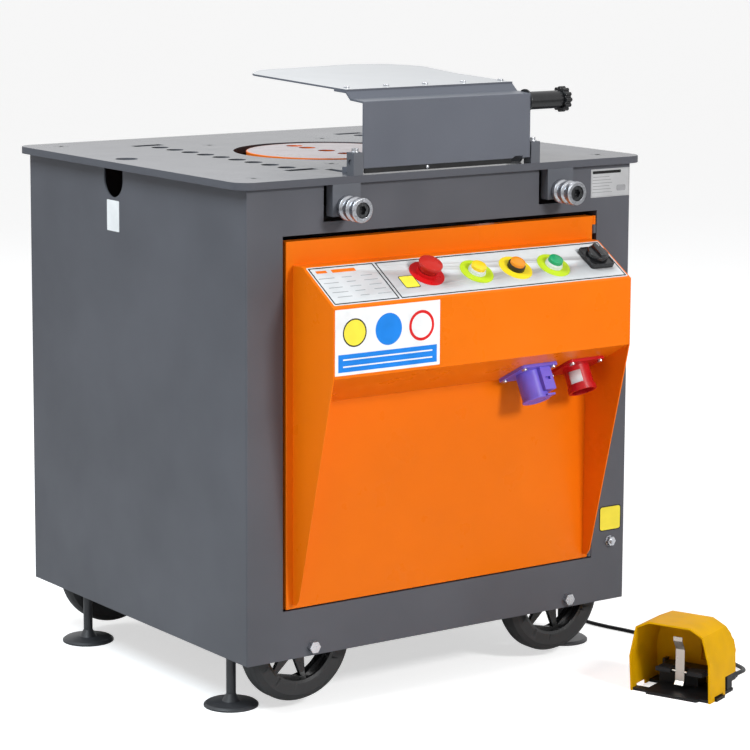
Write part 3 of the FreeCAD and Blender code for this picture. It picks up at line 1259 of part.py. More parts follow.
def handle():
    body = turned("handle", [("GuardPin + Running", "HandleLength - 24"),
                             ("GuardPin + Running", "HandleLength"),
                             ("HandleTube", "HandleLength"), ("HandleTube", "5"),
                             ("HandleTube + 5", "3"), ("HandleTube + 5", "0"), ("0", "0"),
                             ("0", "HandleLength - 24")])
    body.Placement.Rotation = ALONG["x"]
    bind_place(body, "GuardRight", "HandleY", "HandleZ")
    keep(body, "guard_handle")

    knob = new_body("knob")
    core = sketch_on(knob, "XY", "Seat")
    circle(core, "0", "0", "KnobRadius")
    pad(knob, core, "KnobThick")
    lobe = sketch_on(knob, "XY", "Seat")
    circle(lobe, "KnobRadius", "0", "3.5")
    repeat_round(knob, pad(knob, lobe, "KnobThick"), lobe, "KnobLobes")
    stem = sketch_on(knob, "XY", "-20")
    circle(stem, "0", "0", "GuardPin")
    pad(knob, stem, "20 + Seat")
    knob.Placement.Rotation = ALONG["x"]
    bind_place(knob, "GuardRight + HandleLength", "HandleY", "HandleZ")
    keep(knob, "handle_knob")


# Door and console


HINGES = (("LeafTop - 2 * HingeHalf", "upper"), ("LeafLow", "lower"))


def door_leaf():
    body = new_body("leaf")
    face = "-CabinetDepth / 2"
    plan = sketch_on(body, "XZ", face)
    rectangle(plan, "LeafLeft", "LeafRight", "LeafLow", "LeafTop")
    pad(body, plan, "LeafRim")
    front = -size.CabinetDepth / 2
    back = front + size.LeafRim
    hollow(body, "DoorSheet", lambda side: abs(side.CenterOfMass.y - back) < 1e-3)
    soften(body, "FoldRound", lambda edge: abs(edge.CenterOfMass.y - front) < 1e-3)
    for low, _ in HINGES:
        knuckle = sketch_on(body, "XY", "%s + HingeHalf + Seat" % low)
        circle(knuckle, "HingeX", "HingeY", "HingeBarrel")
        pad(body, knuckle, "HingeHalf - Seat")
        tab = sketch_on(body, "XY", "%s + HingeHalf + Seat" % low)
        rectangle(tab, "LeafRight - DoorSheet / 2", "HingeX", "HingeY - 2", "HingeY + 1")
        pad(body, tab, "HingeHalf - Seat")
        pin = sketch_on(body, "XY", "%s + HingeHalf - 1" % low)
        circle(pin, "HingeX", "HingeY", "HingePin + Running")
        pocket(body, pin, "HingeHalf + 2", forward=True)
    keep(body, "door_leaf")


def door_hinges():
    hinges = []
    for low, _ in HINGES:
        barrel = rod("z", "HingeX", "HingeY", low, "HingeBarrel", "HingeHalf")
        pin = rod("z", "HingeX", "HingeY", low, "HingePin", "2 * HingeHalf - 1")
        tab = box("HingeX + 1", "DoorRight", "HingeY - 2", "HingeY + 1", low, "%s + HingeHalf" % low)
        hinges.append(join(barrel, pin, tab))
    keep(group(hinges), "door_hinges")


SLOPE_LONG = math.hypot(size.ConsoleFront - size.ShelfFront, size.SlopeFoot - size.ConsoleTop)
SLOPE_ANGLE = math.degrees(math.atan2(size.ConsoleTop - size.SlopeFoot,
                                      size.ShelfFront - size.ConsoleFront))
UNDER_ANGLE = 180 - math.degrees(math.atan2(size.ConsoleLow - size.UndersideLow,
                                            -size.CabinetDepth / 2 - size.ConsoleFront))
# Controls on the slope: distance from the console's right end and down the slope.
CONTROLS = {"stop": (size.StopIn, size.StopDown), "yellow": (size.YellowIn, size.ButtonDown),
            "amber": (size.AmberIn, size.ButtonDown), "green": (size.GreenIn, size.GreenDown),
            "rotary": (size.RotaryIn, size.RotaryDown)}


def on_slope(name):
    """Placement whose +Z leaves the slope and whose +Y runs up it."""
    inwards, down = CONTROLS[name]
    share = down / SLOPE_LONG
    y = size.ShelfFront + share * (size.ConsoleFront - size.ShelfFront)
    z = size.ConsoleTop + share * (size.SlopeFoot - size.ConsoleTop)
    return Placement(Vector(size.ConsoleRight - inwards, y, z), Rotation(Vector(1, 0, 0), SLOPE_ANGLE))


def on_underside(x):
    """Placement whose +Z leaves the underside at the sockets' row."""
    back = -size.CabinetDepth / 2
    share = (size.SocketY - size.ConsoleFront) / (back - size.ConsoleFront)
    z = size.ConsoleLow + share * (size.UndersideLow - size.ConsoleLow)
    return Placement(Vector(x, size.SocketY, z), Rotation(Vector(1, 0, 0), UNDER_ANGLE))


def console():
    body = new_body("console_box")
    back = "-CabinetDepth / 2"
    section = sketch_on(body, "YZ", "ConsoleLeft")
    outline(section, [(back, "ConsoleTop"), ("ShelfFront", "ConsoleTop"), ("ConsoleFront", "SlopeFoot"),
                      ("ConsoleFront", "ConsoleLow"), (back, "UndersideLow")])
    pad(body, section, "ConsoleRight - ConsoleLeft")
    plane = -size.CabinetDepth / 2
    hollow(body, "DoorSheet", lambda side: abs(side.CenterOfMass.y - plane) < 1e-3)
    cheek = [(back, "ConsoleTop"), ("ShelfFront", "ConsoleTop"), ("ConsoleFront", "SlopeFoot"),
             ("ConsoleFront", "ConsoleLow"), ("CheekFront", "CheekKnee"),
             ("CheekFront + CheekCut", "CheekLow"), (back, "CheekLow")]
    for start in ("ConsoleLeft", "ConsoleRight - DoorSheet"):
        plate = sketch_on(body, "YZ", start)
        outline(plate, cheek)
        pad(body, plate, "DoorSheet")
    folds = [(size.ShelfFront, size.ConsoleTop), (size.ConsoleFront, size.SlopeFoot)]
    soften(body, "FoldRound", lambda edge: along_x_at(edge, folds))
    holes = []
    for name in CONTROLS:
        hole = doc.addObject("Part::Cylinder", "hole")
        bind(hole, Radius="ControlBarrel + Seat", Height="20")
        hole.Placement = on_slope(name).multiply(Placement(Vector(0, 0, -10), Rotation()))
        holes.append(hole)
    for x in (size.OutletX, size.InletX):
        opening = rod("z", "0", "0", "-10", "SocketRadius - SocketWall", "20")
        places = [opening] + [rod("z", "%d * SocketPitch / 2" % i, "%d * SocketPitch / 2" % j, "-10",
                                  "SocketScrew + Running", "20") for i, j in FOUR]
        cutter = join(*places)
        cutter.Placement = on_underside(x)
        holes.append(cutter)
    keep(drill(body, *holes), "console")


def controls():
    legends, bezels = [], []
    neck = "StopNeck + Running"
    barrel = [("ControlBarrel", "-BarrelDeep"), ("ControlBarrel", "0")]
    stop = turned("stop_legend", [("SwitchStem + Running", "-BarrelDeep")] + barrel + [
        ("StopLegend", "0"), ("StopLegend", "LegendThick"), ("StopNeck + 3", "LegendThick"),
        ("StopNeck + 3", "7"), (neck, "7"), (neck, "LegendThick"), ("SwitchStem + Running", "LegendThick")])
    stop.Placement = on_slope("stop")
    legends.append(stop)
    for name in ("yellow", "amber", "green"):
        legend = turned("legend", [("ControlBarrel + Running", "0"), ("LegendRadius", "0"),
                                   ("LegendRadius", "LegendThick"),
                                   ("ControlBarrel + Running", "LegendThick")])
        legend.Placement = on_slope(name)
        legends.append(legend)
        bezel = turned("bezel", [("ButtonStem + Running", "-BarrelDeep")] + barrel + [
            ("ControlBarrel", "LegendThick"), ("BezelRadius", "LegendThick"),
            ("BezelRadius", "BezelHeight - 2"),
            ("BezelRadius - 1", "BezelHeight"), ("ButtonRadius + Running", "BezelHeight"),
            ("ButtonRadius + Running", "3"), ("ButtonStem + Running", "3")])
        bezel.Placement = on_slope(name)
        bezels.append(bezel)
        button = turned("button", [("0", "-BarrelDeep + 8"), ("ButtonStem", "-BarrelDeep + 8"),
                                   ("ButtonStem", "3 + ButtonTravel + Seat"),
                                   ("ButtonRadius", "3 + ButtonTravel + Seat"),
                                   ("ButtonRadius", "ButtonHeight - 1.5"),
                                   ("ButtonRadius - 1.5", "ButtonHeight"),
                                   ("0", "ButtonHeight")])
        button.Placement = on_slope(name)
        keep(button, "button_" + name)
    keep(group(legends), "legend_discs")
    keep(group(bezels), "button_bezels")
    clear = "LegendThick + StopTravel + Seat"
    head = turned("stop_head", [("0", "-BarrelDeep + 6"), ("SwitchStem", "-BarrelDeep + 6"),
                                ("SwitchStem", clear),
                                ("StopNeck", clear), ("StopNeck", "StopHeight - StopRim"),
                                ("StopHead - 2", "StopHeight - 8"), ("StopHead", "StopHeight - 6"),
                                ("StopHead", "StopHeight - 2"), ("StopHead - 2", "StopHeight - 0.6"),
                                ("0", "StopHeight")])
    head.Placement = on_slope("stop")
    keep(head, "estop_head")

    plate = new_body("switch_plate")
    square = sketch_on(plate, "XY")
    half = "SwitchPlate / 2"
    rectangle(square, "-" + half, half, "-" + half, half)
    pad(plate, square, "SwitchThick")
    soften(plate, "5", upright)
    thread = sketch_on(plate, "XY", "-BarrelDeep")
    circle(thread, "0", "0", "ControlBarrel")
    pad(plate, thread, "BarrelDeep + 1")
    stem = sketch_on(plate, "XY")
    circle(stem, "0", "0", "SwitchStem + Running")
    cut_through(plate, stem)
    plate.Placement = on_slope("rotary")
    keep(plate, "switch_plate")

    knob = turned("switch_knob", [("0", "-BarrelDeep + 8"), ("SwitchStem", "-BarrelDeep + 8"),
                                  ("SwitchStem", "SwitchThick + Seat"), ("SwitchKnob", "SwitchThick + Seat"),
                                  ("SwitchKnob - 1", "SwitchTop - 7"), ("SwitchKnob - 3", "SwitchTop - 5"),
                                  ("0", "SwitchTop - 5")])
    grip = sketch_on(knob, "XY", "SwitchTop - 6")
    rectangle(grip, "-GripWidth / 2", "GripWidth / 2", "-SwitchKnob + 2", "SwitchKnob - 2")
    pad(knob, grip, "6")
    knob.Placement = on_slope("rotary")
    keep(knob, "switch_knob")


def socket_shell(name, length, mouth_collar):
    """Square flange and round sleeve, open at the far end."""
    body = new_body(name)
    half = "SocketFlange / 2"
    flange = sketch_on(body, "XY")
    rectangle(flange, "-" + half, half, "-" + half, half)
    pad(body, flange, "FlangeThick")
    soften(body, "6", upright)
    sleeve = sketch_on(body, "XY")
    circle(sleeve, "0", "0", "SocketRadius")
    pad(body, sleeve, length)
    if mouth_collar:
        collar = sketch_on(body, "XY", "%s - 9" % length)
        circle(collar, "0", "0", "SocketRadius + 2")
        pad(body, collar, "9")
    return body


def socket_bore(body, length):
    bore = sketch_on(body, "XY", length)
    circle(bore, "0", "0", "SocketRadius - SocketWall")
    pocket(body, bore, "%s - FlangeThick" % length, forward=False)
    holes = sketch_on(body, "XY")
    for i, j in FOUR:
        circle(holes, "%d * SocketPitch / 2" % i, "%d * SocketPitch / 2" % j, "SocketScrew + Running")
    cut_through(body, holes)


def sockets():
    outlet = socket_shell("outlet", "OutletLength", False)
    block = sketch_on(outlet, "XY", "FlangeThick")
    rectangle(block, "2", "2 + LatchBlockWide", "6", "LatchBlockOut")
    pad(outlet, block, "OutletLength - FlangeThick - 6")
    socket_bore(outlet, "OutletLength")
    slot = sketch_on(outlet, "XZ", "LatchBlockOut")
    rectangle(slot, "8", "LatchBlockWide - 4", "OutletLength / 2 - 3", "OutletLength / 2 + 2")
    pocket(outlet, slot, "5", forward=False)
    outlet.Placement = on_underside(size.OutletX)
    keep(outlet, "outlet_body")

    lid = turned("outlet_lid", [("0", "OutletLength + Seat"), ("SocketRadius + 1.5", "OutletLength + Seat"),
                                ("SocketRadius + 1.5", "OutletLength + LidThick - 1"),
                                ("SocketRadius", "OutletLength + LidThick"),
                                ("16", "OutletLength + LidThick"), ("15", "OutletLength + LidThick - 1"),
                                ("0", "OutletLength + LidThick - 1")])
    ear = sketch_on(lid, "XY", "OutletLength + Seat")
    rectangle(ear, "4", "20", "14", "SocketRadius + 6")
    pad(lid, ear, "LidThick - 1")
    lid.Placement = on_underside(size.OutletX)
    keep(lid, "outlet_lid")

    inlet = socket_shell("inlet", "InletLength", True)
    socket_bore(inlet, "InletLength")
    contact = sketch_on(inlet, "XY", "FlangeThick - 1")
    circle(contact, "0", "ContactCircle", "ContactPin")
    repeat_round(inlet, pad(inlet, contact, "InletLength - 10"), contact, "5")
    inlet.Placement = on_underside(size.InletX)
    keep(inlet, "inlet_body")

    screws = []
    for x in (size.OutletX, size.InletX):
        for i, j in FOUR:
            at = ("%d * SocketPitch / 2" % i, "%d * SocketPitch / 2" % j)
            screw = join(rod("z", at[0], at[1], "-6", "SocketScrew", "6 + FlangeThick"),
                         rod("z", at[0], at[1], "FlangeThick", "2 * SocketScrew", "3.5"))
            screw.Placement = on_underside(x)
            screws.append(screw)
    keep(group(screws), "socket_screws")


def device(left, low, width, height, depth, step):
    """Switchgear on the plate: a base with its terminals and a nose before it."""
    back = "-CabinetDepth / 2 + DoorSheet + MountThick"
    base = box(left, "%s + %s" % (left, width), back, "%s + (%s) * 0.55" % (back, depth), low,
               "%s + %s" % (low, height))
    nose = box("%s + 2" % left, "%s + %s - 2" % (left, width), back, "%s + %s" % (back, depth),
               "%s + %s" % (low, step), "%s + %s - %s" % (low, height, step))
    return join(base, nose)


def contactors():
    """Mounting plate behind the leaf with two contactors, a relay, a transformer and terminals."""
    inner = "-CabinetDepth / 2 + DoorSheet"
    pieces = [box("MountLeft", "MountLeft + MountWide", inner, "%s + MountThick" % inner,
                  "MountTop - MountHigh", "MountTop")]
    for k in (0, 1):
        pieces.append(device("MountLeft + DeviceIn + %d * DeviceStep" % k, "DeviceLow", "DeviceWide",
                             "DeviceHigh", "DeviceDeep", "DeviceNose"))
    pieces.append(device("MountLeft + DeviceIn + 2 * DeviceStep", "DeviceLow", "DeviceWide", "DeviceHigh",
                         "DeviceDeep + RelayMore", "DeviceNose"))
    pieces.append(device("MountLeft + MountWide - SupplyIn - SupplyWide",
                         "MountTop - DeviceDrop - SupplyHigh", "SupplyWide", "SupplyHigh", "SupplyDeep",
                         "DeviceNose"))
    pieces.append(device("MountLeft + DeviceIn", "MountTop - StripDrop - StripHigh",
                         "MountWide - DeviceIn - SupplyIn", "StripHigh", "StripDeep", "DeviceNose / 2"))
    keep(group(pieces), "contactors")


# Cable and pedal


def cable_gland():
    body = turned("gland", [("0", "-12"), ("GlandThread", "-12"), ("GlandThread", "0"),
                            ("GlandBody", "0"), ("GlandBody", "10"), ("GlandBody - 2", "12"),
                            ("GlandBody - 2", "GlandLength - 8"), ("GlandBody / 2", "GlandLength"),
                            ("0", "GlandLength")])
    body.Placement.Rotation = ALONG["x"]
    bind_place(body, "CabinetWidth / 2", "GlandY", "GlandZ")
    keep(body, "cable_gland")


def pedal_place():
    return Placement(Vector(size.PedalX, size.PedalY, size.FloorLevel),
                     Rotation(Vector(0, 0, 1), size.PedalTurn))


def pedal_hood():
    """Moulded hood over the treadle, open in front and below."""
    body = new_body("hood")
    arch = sketch_on(body, "XZ")
    outline(arch, [("-HoodHalf", "0"), ("-HoodWaist", "HoodWaistZ"),
                   ("-HoodWaist + 11", "HoodTop - HoodKnee"),
                   ("-HoodWaist + HoodShoulder", "HoodTop"), ("HoodWaist - HoodShoulder - 7", "HoodTop"),
                   ("HoodWaist - 18.5", "HoodTop - HoodKnee - 0.5"), ("HoodWaist - 5.5", "HoodWaistZ + 5"),
                   ("HoodHalf", "0")])
    pad(body, arch, "HoodDepth")
    deep = size.HoodDepth
    soften(body, "11", lambda edge: abs(edge.CenterOfMass.y - deep) < 1e-3 and edge.CenterOfMass.z > 100,
           "PartDesign::Chamfer")
    hump = sketch_on(body, "XZ", "HoodDepth - 20")
    outline(hump, [("HoodWaist - HumpWide - 8", "HumpTop - 56"),
                   ("HoodWaist - HumpWide - 8", "HumpTop - 10"),
                   ("HoodWaist - HumpWide + 2", "HumpTop"), ("HoodWaist - 22", "HumpTop"),
                   ("HoodWaist - 12", "HumpTop - 12"), ("HoodWaist - 8", "HumpTop - 30"),
                   ("HoodWaist - 12", "HumpTop - 56")])
    pad(body, hump, "20 + HumpOut")
    hollow(body, "HoodWall",
           lambda side: abs(side.CenterOfMass.y) < 1e-3 or abs(side.CenterOfMass.z) < 1e-3)
    feet = sketch_on(body, "YZ")
    rectangle(feet, "18", "50", "-1", "8")
    cut_through(body, feet)
    outlet = sketch_on(body, "XZ", "HoodDepth - 40")
    rectangle(outlet, "PedalGlandX - 12", "PedalGlandX + 30", "-1", "PedalGlandZ + 12")
    pocket(body, outlet, "60", forward=True)
    body.Placement = pedal_place()
    keep(body, "pedal_hood")


def pedal_base():
    """Base plate with lugs, the switch block, the treadle's bearings and the cable's gland."""
    body = new_body("base")
    wide = "(HoodHalf - HoodWall - Seat)"
    plan = sketch_on(body, "XY")
    rear = "HoodDepth - HoodWall - Seat"
    left_ear, right_ear = "-(EarFrom + EarThick)", "EarFrom - 1"
    outline(plan, [("-" + wide, "3"), ("-EarFrom + 2", "3"), ("-EarFrom + 5", "-BaseLip"),
                   ("EarFrom + 3", "-BaseLip"), ("EarFrom + 6", "3"), (wide, "3"),
                   (wide, "18.5"), ("HoodWaist", "18.5"), ("HoodWaist", "49.5"), (wide, "49.5"),
                   (wide, rear), ("-" + wide, rear), ("-" + wide, "62"), ("-EarFrom - 1", "62"),
                   ("-EarFrom - 1", "18"), ("-" + wide, "18")])
    pad(body, plan, "BaseThick")
    block = sketch_on(body, "XY", "BaseThick - 1")
    rectangle(block, left_ear, "20", "TreadPivot - 18", rear)
    pad(body, block, "TreadZ - 8 - BaseThick")
    for x in (left_ear, right_ear):
        ear = sketch_on(body, "YZ", x)
        outline(ear, [("TreadPivot - 10", "BaseThick - 1"), ("TreadPivot + 10", "BaseThick - 1"),
                      ("TreadPivot + 7", "TreadZ + 7"), ("TreadPivot - 7", "TreadZ + 7")])
        pad(body, ear, "EarThick")
    pin = sketch_on(body, "YZ")
    circle(pin, "TreadPivot", "TreadZ", "TreadPin + Running")
    cut_through(body, pin)
    mount = sketch_on(body, "XY", "BaseThick - 1")
    rectangle(mount, "PedalGlandX - 8.3", "PedalGlandX + 8.3", "HoodDepth - 24", "HoodDepth - 6")
    pad(body, mount, "PedalGlandZ + 9 - BaseThick")
    gland = sketch_on(body, "XZ", "HoodDepth - 10")
    circle(gland, "PedalGlandX", "PedalGlandZ", "7.5")
    pad(body, gland, "PedalGlandOut")
    nose = sketch_on(body, "XZ", "HoodDepth + PedalGlandOut - 10")
    circle(nose, "PedalGlandX", "PedalGlandZ", "6")
    pad(body, nose, "10")
    body.Placement = pedal_place()
    keep(body, "pedal_base")


def treadle():
    """Ribbed tread with its side arms on one long pin."""
    body = new_body("treadle")
    side = sketch_on(body, "YZ", "-TreadHalf")
    outline(side, [("TreadFront", "TreadZ - 2"), ("TreadFront + 24", "TreadZ - 4"),
                   ("TreadPivot", "TreadZ - 5"), ("TreadPivot + 6", "TreadZ"),
                   ("TreadPivot", "TreadZ + 5"), ("TreadFront + 24", "TreadZ + 3"),
                   ("TreadFront", "TreadZ + 5")])
    pad(body, side, "TreadWide")
    rib = sketch_on(body, "XY", "TreadZ + 3")
    rectangle(rib, "2 - TreadHalf", "TreadHalf - 2", "TreadFront + 3", "TreadFront + 3 + TreadRib")
    repeat_along(body, pad(body, rib, "3"), rib, "V_Axis", "RibPitch * (RibCount - 1)", "RibCount")
    window = sketch_on(body, "XY")
    rectangle(window, "-LatchWindow / 2", "LatchWindow / 2", "TreadFront - 1", "TreadFront + 14")
    cut_through(body, window)
    pin = sketch_on(body, "YZ", "-(EarFrom + EarThick - 1)")
    circle(pin, "TreadPivot", "TreadZ", "TreadPin")
    pad(body, pin, "2 * EarFrom + 2 * EarThick - 3")
    latch_bore = sketch_on(body, "YZ")
    circle(latch_bore, "TreadFront + 7", "TreadZ + 1", "LatchPin + Running")
    pocket(body, latch_bore, "2 * LatchHalf").SideType = "Symmetric"
    body.Placement = pedal_place()
    keep(body, "pedal_treadle")


def latch():
    """Metal catch through the tread: the toe pushes its top back."""
    body = new_body("latch")
    path = [(size.TreadFront + 2, size.LatchLow), (size.TreadFront + 6, size.LatchLow + 7),
            (size.TreadFront + 6, size.LatchBend), (size.TreadFront + 16, size.LatchLip),
            (size.TreadFront + 12, size.LatchTop)]
    strip = sketch_on(body, "YZ", "-LatchWide / 2")
    outline(strip, thicken(path, size.LatchThick))
    pad(body, strip, "LatchWide")
    pin = sketch_on(body, "YZ")
    circle(pin, "TreadFront + 7", "TreadZ + 1", "LatchPin")
    pad_both(body, pin, "2 * LatchHalf - 2 * Seat")
    body.Placement = pedal_place()
    keep(body, "pedal_latch")


def in_pedal(x, y, z):
    return pedal_place().multVec(Vector(x, y, z))


# Cable's route, chosen by hand: from the panel's gland down to the floor, along the
# machine's right side and round behind the pedal. Each place is counted from the
# cabinet's right front corner and from where the cable rests on the floor.
CABLE_ROUTE = [(50, 290, 132.8), (72.5, 289.5, 119.8), (87.5, 288, 93.8), (88.5, 284, 60.3), (84, 268, 29.3),
               (77, 240, 9.3), (69, 206, 0), (60.5, 172, 0), (71, 120, 0), (85.6, 74, 0), (98.3, -5.8, 0),
               (102.5, -85.7, 0), (100.1, -155.7, 0), (89.7, -204.6, 1.8), (69.7, -239.2, 7.3),
               (42.1, -262.3, 14.3)]


def cable():
    """Round cable of straight runs joined by tangent arcs."""
    gland_face = Vector(size.CabinetWidth / 2 + size.GlandLength, size.GlandY, size.GlandZ)
    pedal_end = in_pedal(size.PedalGlandX, size.HoodDepth + size.PedalGlandOut, size.PedalGlandZ)
    corner = Vector(size.CabinetWidth / 2, -size.CabinetDepth / 2,
                    size.FloorLevel + size.CableRadius + size.CableLift)
    points = [gland_face] + [corner + Vector(*point) for point in CABLE_ROUTE] + [pedal_end]
    edges = []
    here = points[0]
    for before, bend, after in zip(points, points[1:], points[2:]):
        into, out = bend - before, after - bend
        turn = into.getAngle(out)
        shorter = min(into.Length, out.Length)
        radius = 0.45 * shorter / math.tan(turn / 2)
        back = 0.45 * shorter
        into.normalize()
        out.normalize()
        start, end = bend - into * back, bend + out * back
        inward = out - into
        inward.normalize()
        middle = bend + inward * (radius / math.cos(turn / 2) - radius)
        edges.append(Part.LineSegment(here, start).toShape())
        edges.append(Part.Arc(start, middle, end).toShape())
        print("cable bend %.0f degrees, radius %.0f" % (math.degrees(turn), radius))
        here = end
    edges.append(Part.LineSegment(here, points[-1]).toShape())
    path = Part.Wire(edges)
    ring = Part.Wire(Part.Circle(points[0], points[1] - points[0], size.CableRadius).toShape())
    tube = path.makePipeShell([ring], True, False)
    expected = math.pi * size.CableRadius ** 2 * path.Length
    print("cable volume %.0f, section times length %.0f" % (tube.Volume, expected))
    feature = doc.addObject("Part::Feature", "cable")
    feature.Shape = tube
    keep(feature, "pedal_cable")


def write_parts():
    doc.recompute()
    os.makedirs("parts", exist_ok=True)
    for thing in doc.Objects:
        if "Invalid" in thing.State or "Error" in thing.State:
            raise RuntimeError("%s (%s) failed" % (thing.Name, thing.Label))
    for part in PARTS:
        shape = part.Shape
        if shape.isNull() or not shape.isValid() or shape.Volume <= 0:
            raise RuntimeError("%s has no valid solid" % part.Label)
        shape.exportStep("parts/%s.step" % part.Label)
        print("%-18s %2d solids %12.0f mm3" % (part.Label, len(shape.Solids), shape.Volume))


table_top()
table_screws()
cabinet_front()
cabinet_side(-1, "left_panel")
cabinet_side(1, "right_panel")
cabinet_rear()
base_rail(-1, "base_rail_front")
base_rail(1, "base_rail_rear")
wheel(-1, -1, "wheel_front_left")
wheel(1, -1, "wheel_front_right")
wheel(-1, 1, "wheel_rear_left")
wheel(1, 1, "wheel_rear_right")
wheel_bolts()
foot(-1, -1, "foot_front_left")
foot(1, -1, "foot_front_right")
foot(-1, 1, "foot_rear_left")
foot(1, 1, "foot_rear_right")
earth_bolt()
roller_lugs()
roller("LeftRollerX", "roller_left")
roller("RightRollerX", "roller_right")
roller_screws()
bending_disc()
spindle()
gears()
gearbox()
motor()
guard_bracket()
guard_sheet()
guard_screws()
guard_posts()
guard_switch()
handle()
door_leaf()
door_hinges()
console()
controls()
sockets()
contactors()
cable_gland()
pedal_hood()
pedal_base()
treadle()
latch()
cable()
write_parts()
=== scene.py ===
# %% [markdown]
# # A rebar bending machine
#
# This file dresses a finished CAD model for a picture. The CAD solids already have the right
# sizes, so most of them are kept and get softer edges and a finish. Blender's own tools make
# what a CAD model leaves plain: labels, lenses, knobs, sockets, the pedal and its cable.
# Every length is in metres. The origin is the middle of the bending disc, level with the table.

# %% Load the CAD model
import json
import math

import bpy
from mathutils import Matrix, Vector


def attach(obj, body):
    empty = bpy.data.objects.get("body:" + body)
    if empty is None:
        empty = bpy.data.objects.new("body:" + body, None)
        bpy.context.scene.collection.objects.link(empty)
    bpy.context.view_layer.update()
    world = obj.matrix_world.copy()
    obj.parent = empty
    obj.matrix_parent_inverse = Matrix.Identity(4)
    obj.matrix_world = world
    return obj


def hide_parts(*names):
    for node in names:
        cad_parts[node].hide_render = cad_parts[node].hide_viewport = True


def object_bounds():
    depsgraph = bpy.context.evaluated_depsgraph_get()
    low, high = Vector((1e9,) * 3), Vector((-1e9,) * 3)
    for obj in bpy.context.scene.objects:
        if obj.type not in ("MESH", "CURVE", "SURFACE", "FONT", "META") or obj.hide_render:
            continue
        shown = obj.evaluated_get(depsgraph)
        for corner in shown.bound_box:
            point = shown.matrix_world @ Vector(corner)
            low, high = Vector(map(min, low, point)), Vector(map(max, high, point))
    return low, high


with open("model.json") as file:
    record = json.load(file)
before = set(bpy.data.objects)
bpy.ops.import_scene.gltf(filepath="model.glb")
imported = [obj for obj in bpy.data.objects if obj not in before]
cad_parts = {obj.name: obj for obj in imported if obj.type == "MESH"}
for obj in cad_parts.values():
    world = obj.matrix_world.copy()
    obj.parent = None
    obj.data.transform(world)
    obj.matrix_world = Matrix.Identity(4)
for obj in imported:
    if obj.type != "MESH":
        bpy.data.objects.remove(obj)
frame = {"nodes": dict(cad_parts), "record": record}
cad_low, cad_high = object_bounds()
record = frame["record"]
body_of_node = {node: body for body, nodes in record["behaviour"]["bodies"].items() for node in nodes}
print("CAD box", [round(v, 3) for v in (*cad_low, *cad_high)])

# %% [markdown]
# ## The camera
#
# The photograph was taken from the left of the door, a little above the table. The lens is long,
# so lines that run into the distance stay nearly parallel. The lens shift keeps upright edges
# upright. It could do so completely, but then views from other sides would be cut off, so most
# of the framing comes from tilting the camera.

# %% Camera
turn, tilt, roll = math.radians(35.391), math.radians(8.362), math.radians(0.269)
eye = bpy.data.cameras.new("photographer")
eye.lens = 132.33
eye.sensor_width = 36
eye.shift_y = -0.12
eye.clip_end = 200
camera = bpy.data.objects.new("photographer", eye)
camera.location = (-2.6837, -3.9244, 0.4637)
camera.rotation_euler = (Matrix.Rotation(-turn, 3, "Z") @ Matrix.Rotation(math.pi / 2 - tilt, 3, "X")
                         @ Matrix.Rotation(roll, 3, "Z")).to_euler()
bpy.context.scene.collection.objects.link(camera)
bpy.context.scene.camera = camera
print("camera at", [round(v, 2) for v in camera.location], "lens", round(eye.lens), "mm")

# %% [markdown]
# ## Studio
#
# A wide pale floor and a pale world give soft light from everywhere, as in a product picture.
# Three lamps give the shape. The key lamp stands in front, a little to the right, as the short
# shadows of the sockets on the door show. A larger, cooler one lights the left side, and a weak
# one the rear. The world looks brighter to the camera and in mirror-like surfaces than it is as
# a light, so the background is white and nothing is overexposed.

# %% Floor, world and lamps
FLOOR = cad_low.z
WORLD_LIGHT, WORLD_SEEN = 0.34, 0.95

bpy.ops.mesh.primitive_plane_add(size=160, location=(0, 0, FLOOR))
floor = bpy.context.object
floor.name = "studio_floor"

bpy.context.scene.view_settings.view_transform = "Standard"
world = bpy.data.worlds.new("studio")
bpy.context.scene.world = world
world.use_nodes = True
sky = world.node_tree
path = sky.nodes.new("ShaderNodeLightPath")
seen = path.outputs["Is Camera Ray"]
for kind in ("Is Glossy Ray", "Is Transmission Ray"):
    either = sky.nodes.new("ShaderNodeMath")
    either.operation = "MAXIMUM"
    sky.links.new(seen, either.inputs[0])
    sky.links.new(path.outputs[kind], either.inputs[1])
    seen = either.outputs[0]
strength = sky.nodes.new("ShaderNodeMapRange")
strength.inputs["To Min"].default_value = WORLD_LIGHT
strength.inputs["To Max"].default_value = WORLD_SEEN
sky.links.new(seen, strength.inputs["Value"])
sky.nodes["Background"].inputs["Color"].default_value = (1, 1, 1, 1)
sky.links.new(strength.outputs["Result"], sky.nodes["Background"].inputs["Strength"])


def lamp(name, place, aim, width, watts, colour=(1, 1, 1)):
    """A square soft lamp at a place, turned to shine at its aim."""
    light = bpy.data.lights.new(name, "AREA")
    light.size = width
    light.energy = watts
    light.color = colour
    holder = bpy.data.objects.new(name, light)
    holder.location = place
    holder.rotation_euler = (Vector(aim) - Vector(place)).to_track_quat("-Z", "Y").to_euler()
    bpy.context.scene.collection.objects.link(holder)


lamp("key_softbox", (0.5, -2.6, 0.8), (0, -0.36, -0.35), 0.45, 41)
lamp("left_softbox", (-1.9, -0.4, 1.9), (-0.39, 0, -0.2), 1.4, 72, (0.84, 0.94, 1.0))
lamp("rear_softbox", (1.2, 3.0, 2.6), (0, 0, 0), 2.0, 40)

# %% [markdown]
# ## Finishes
#
# No painted or moulded surface is one flat colour. Each finish here starts from a Principled
# shader. A soft noise varies the colour and the roughness a little, and a fine noise gives the
# skin of sprayed enamel, the grain of a casting or the haze of a plastic as a bump. Noise on
# object coordinates needs no unwrapping and has its size in metres, so every piece gets the
# same grain.

# %% The class for finishes


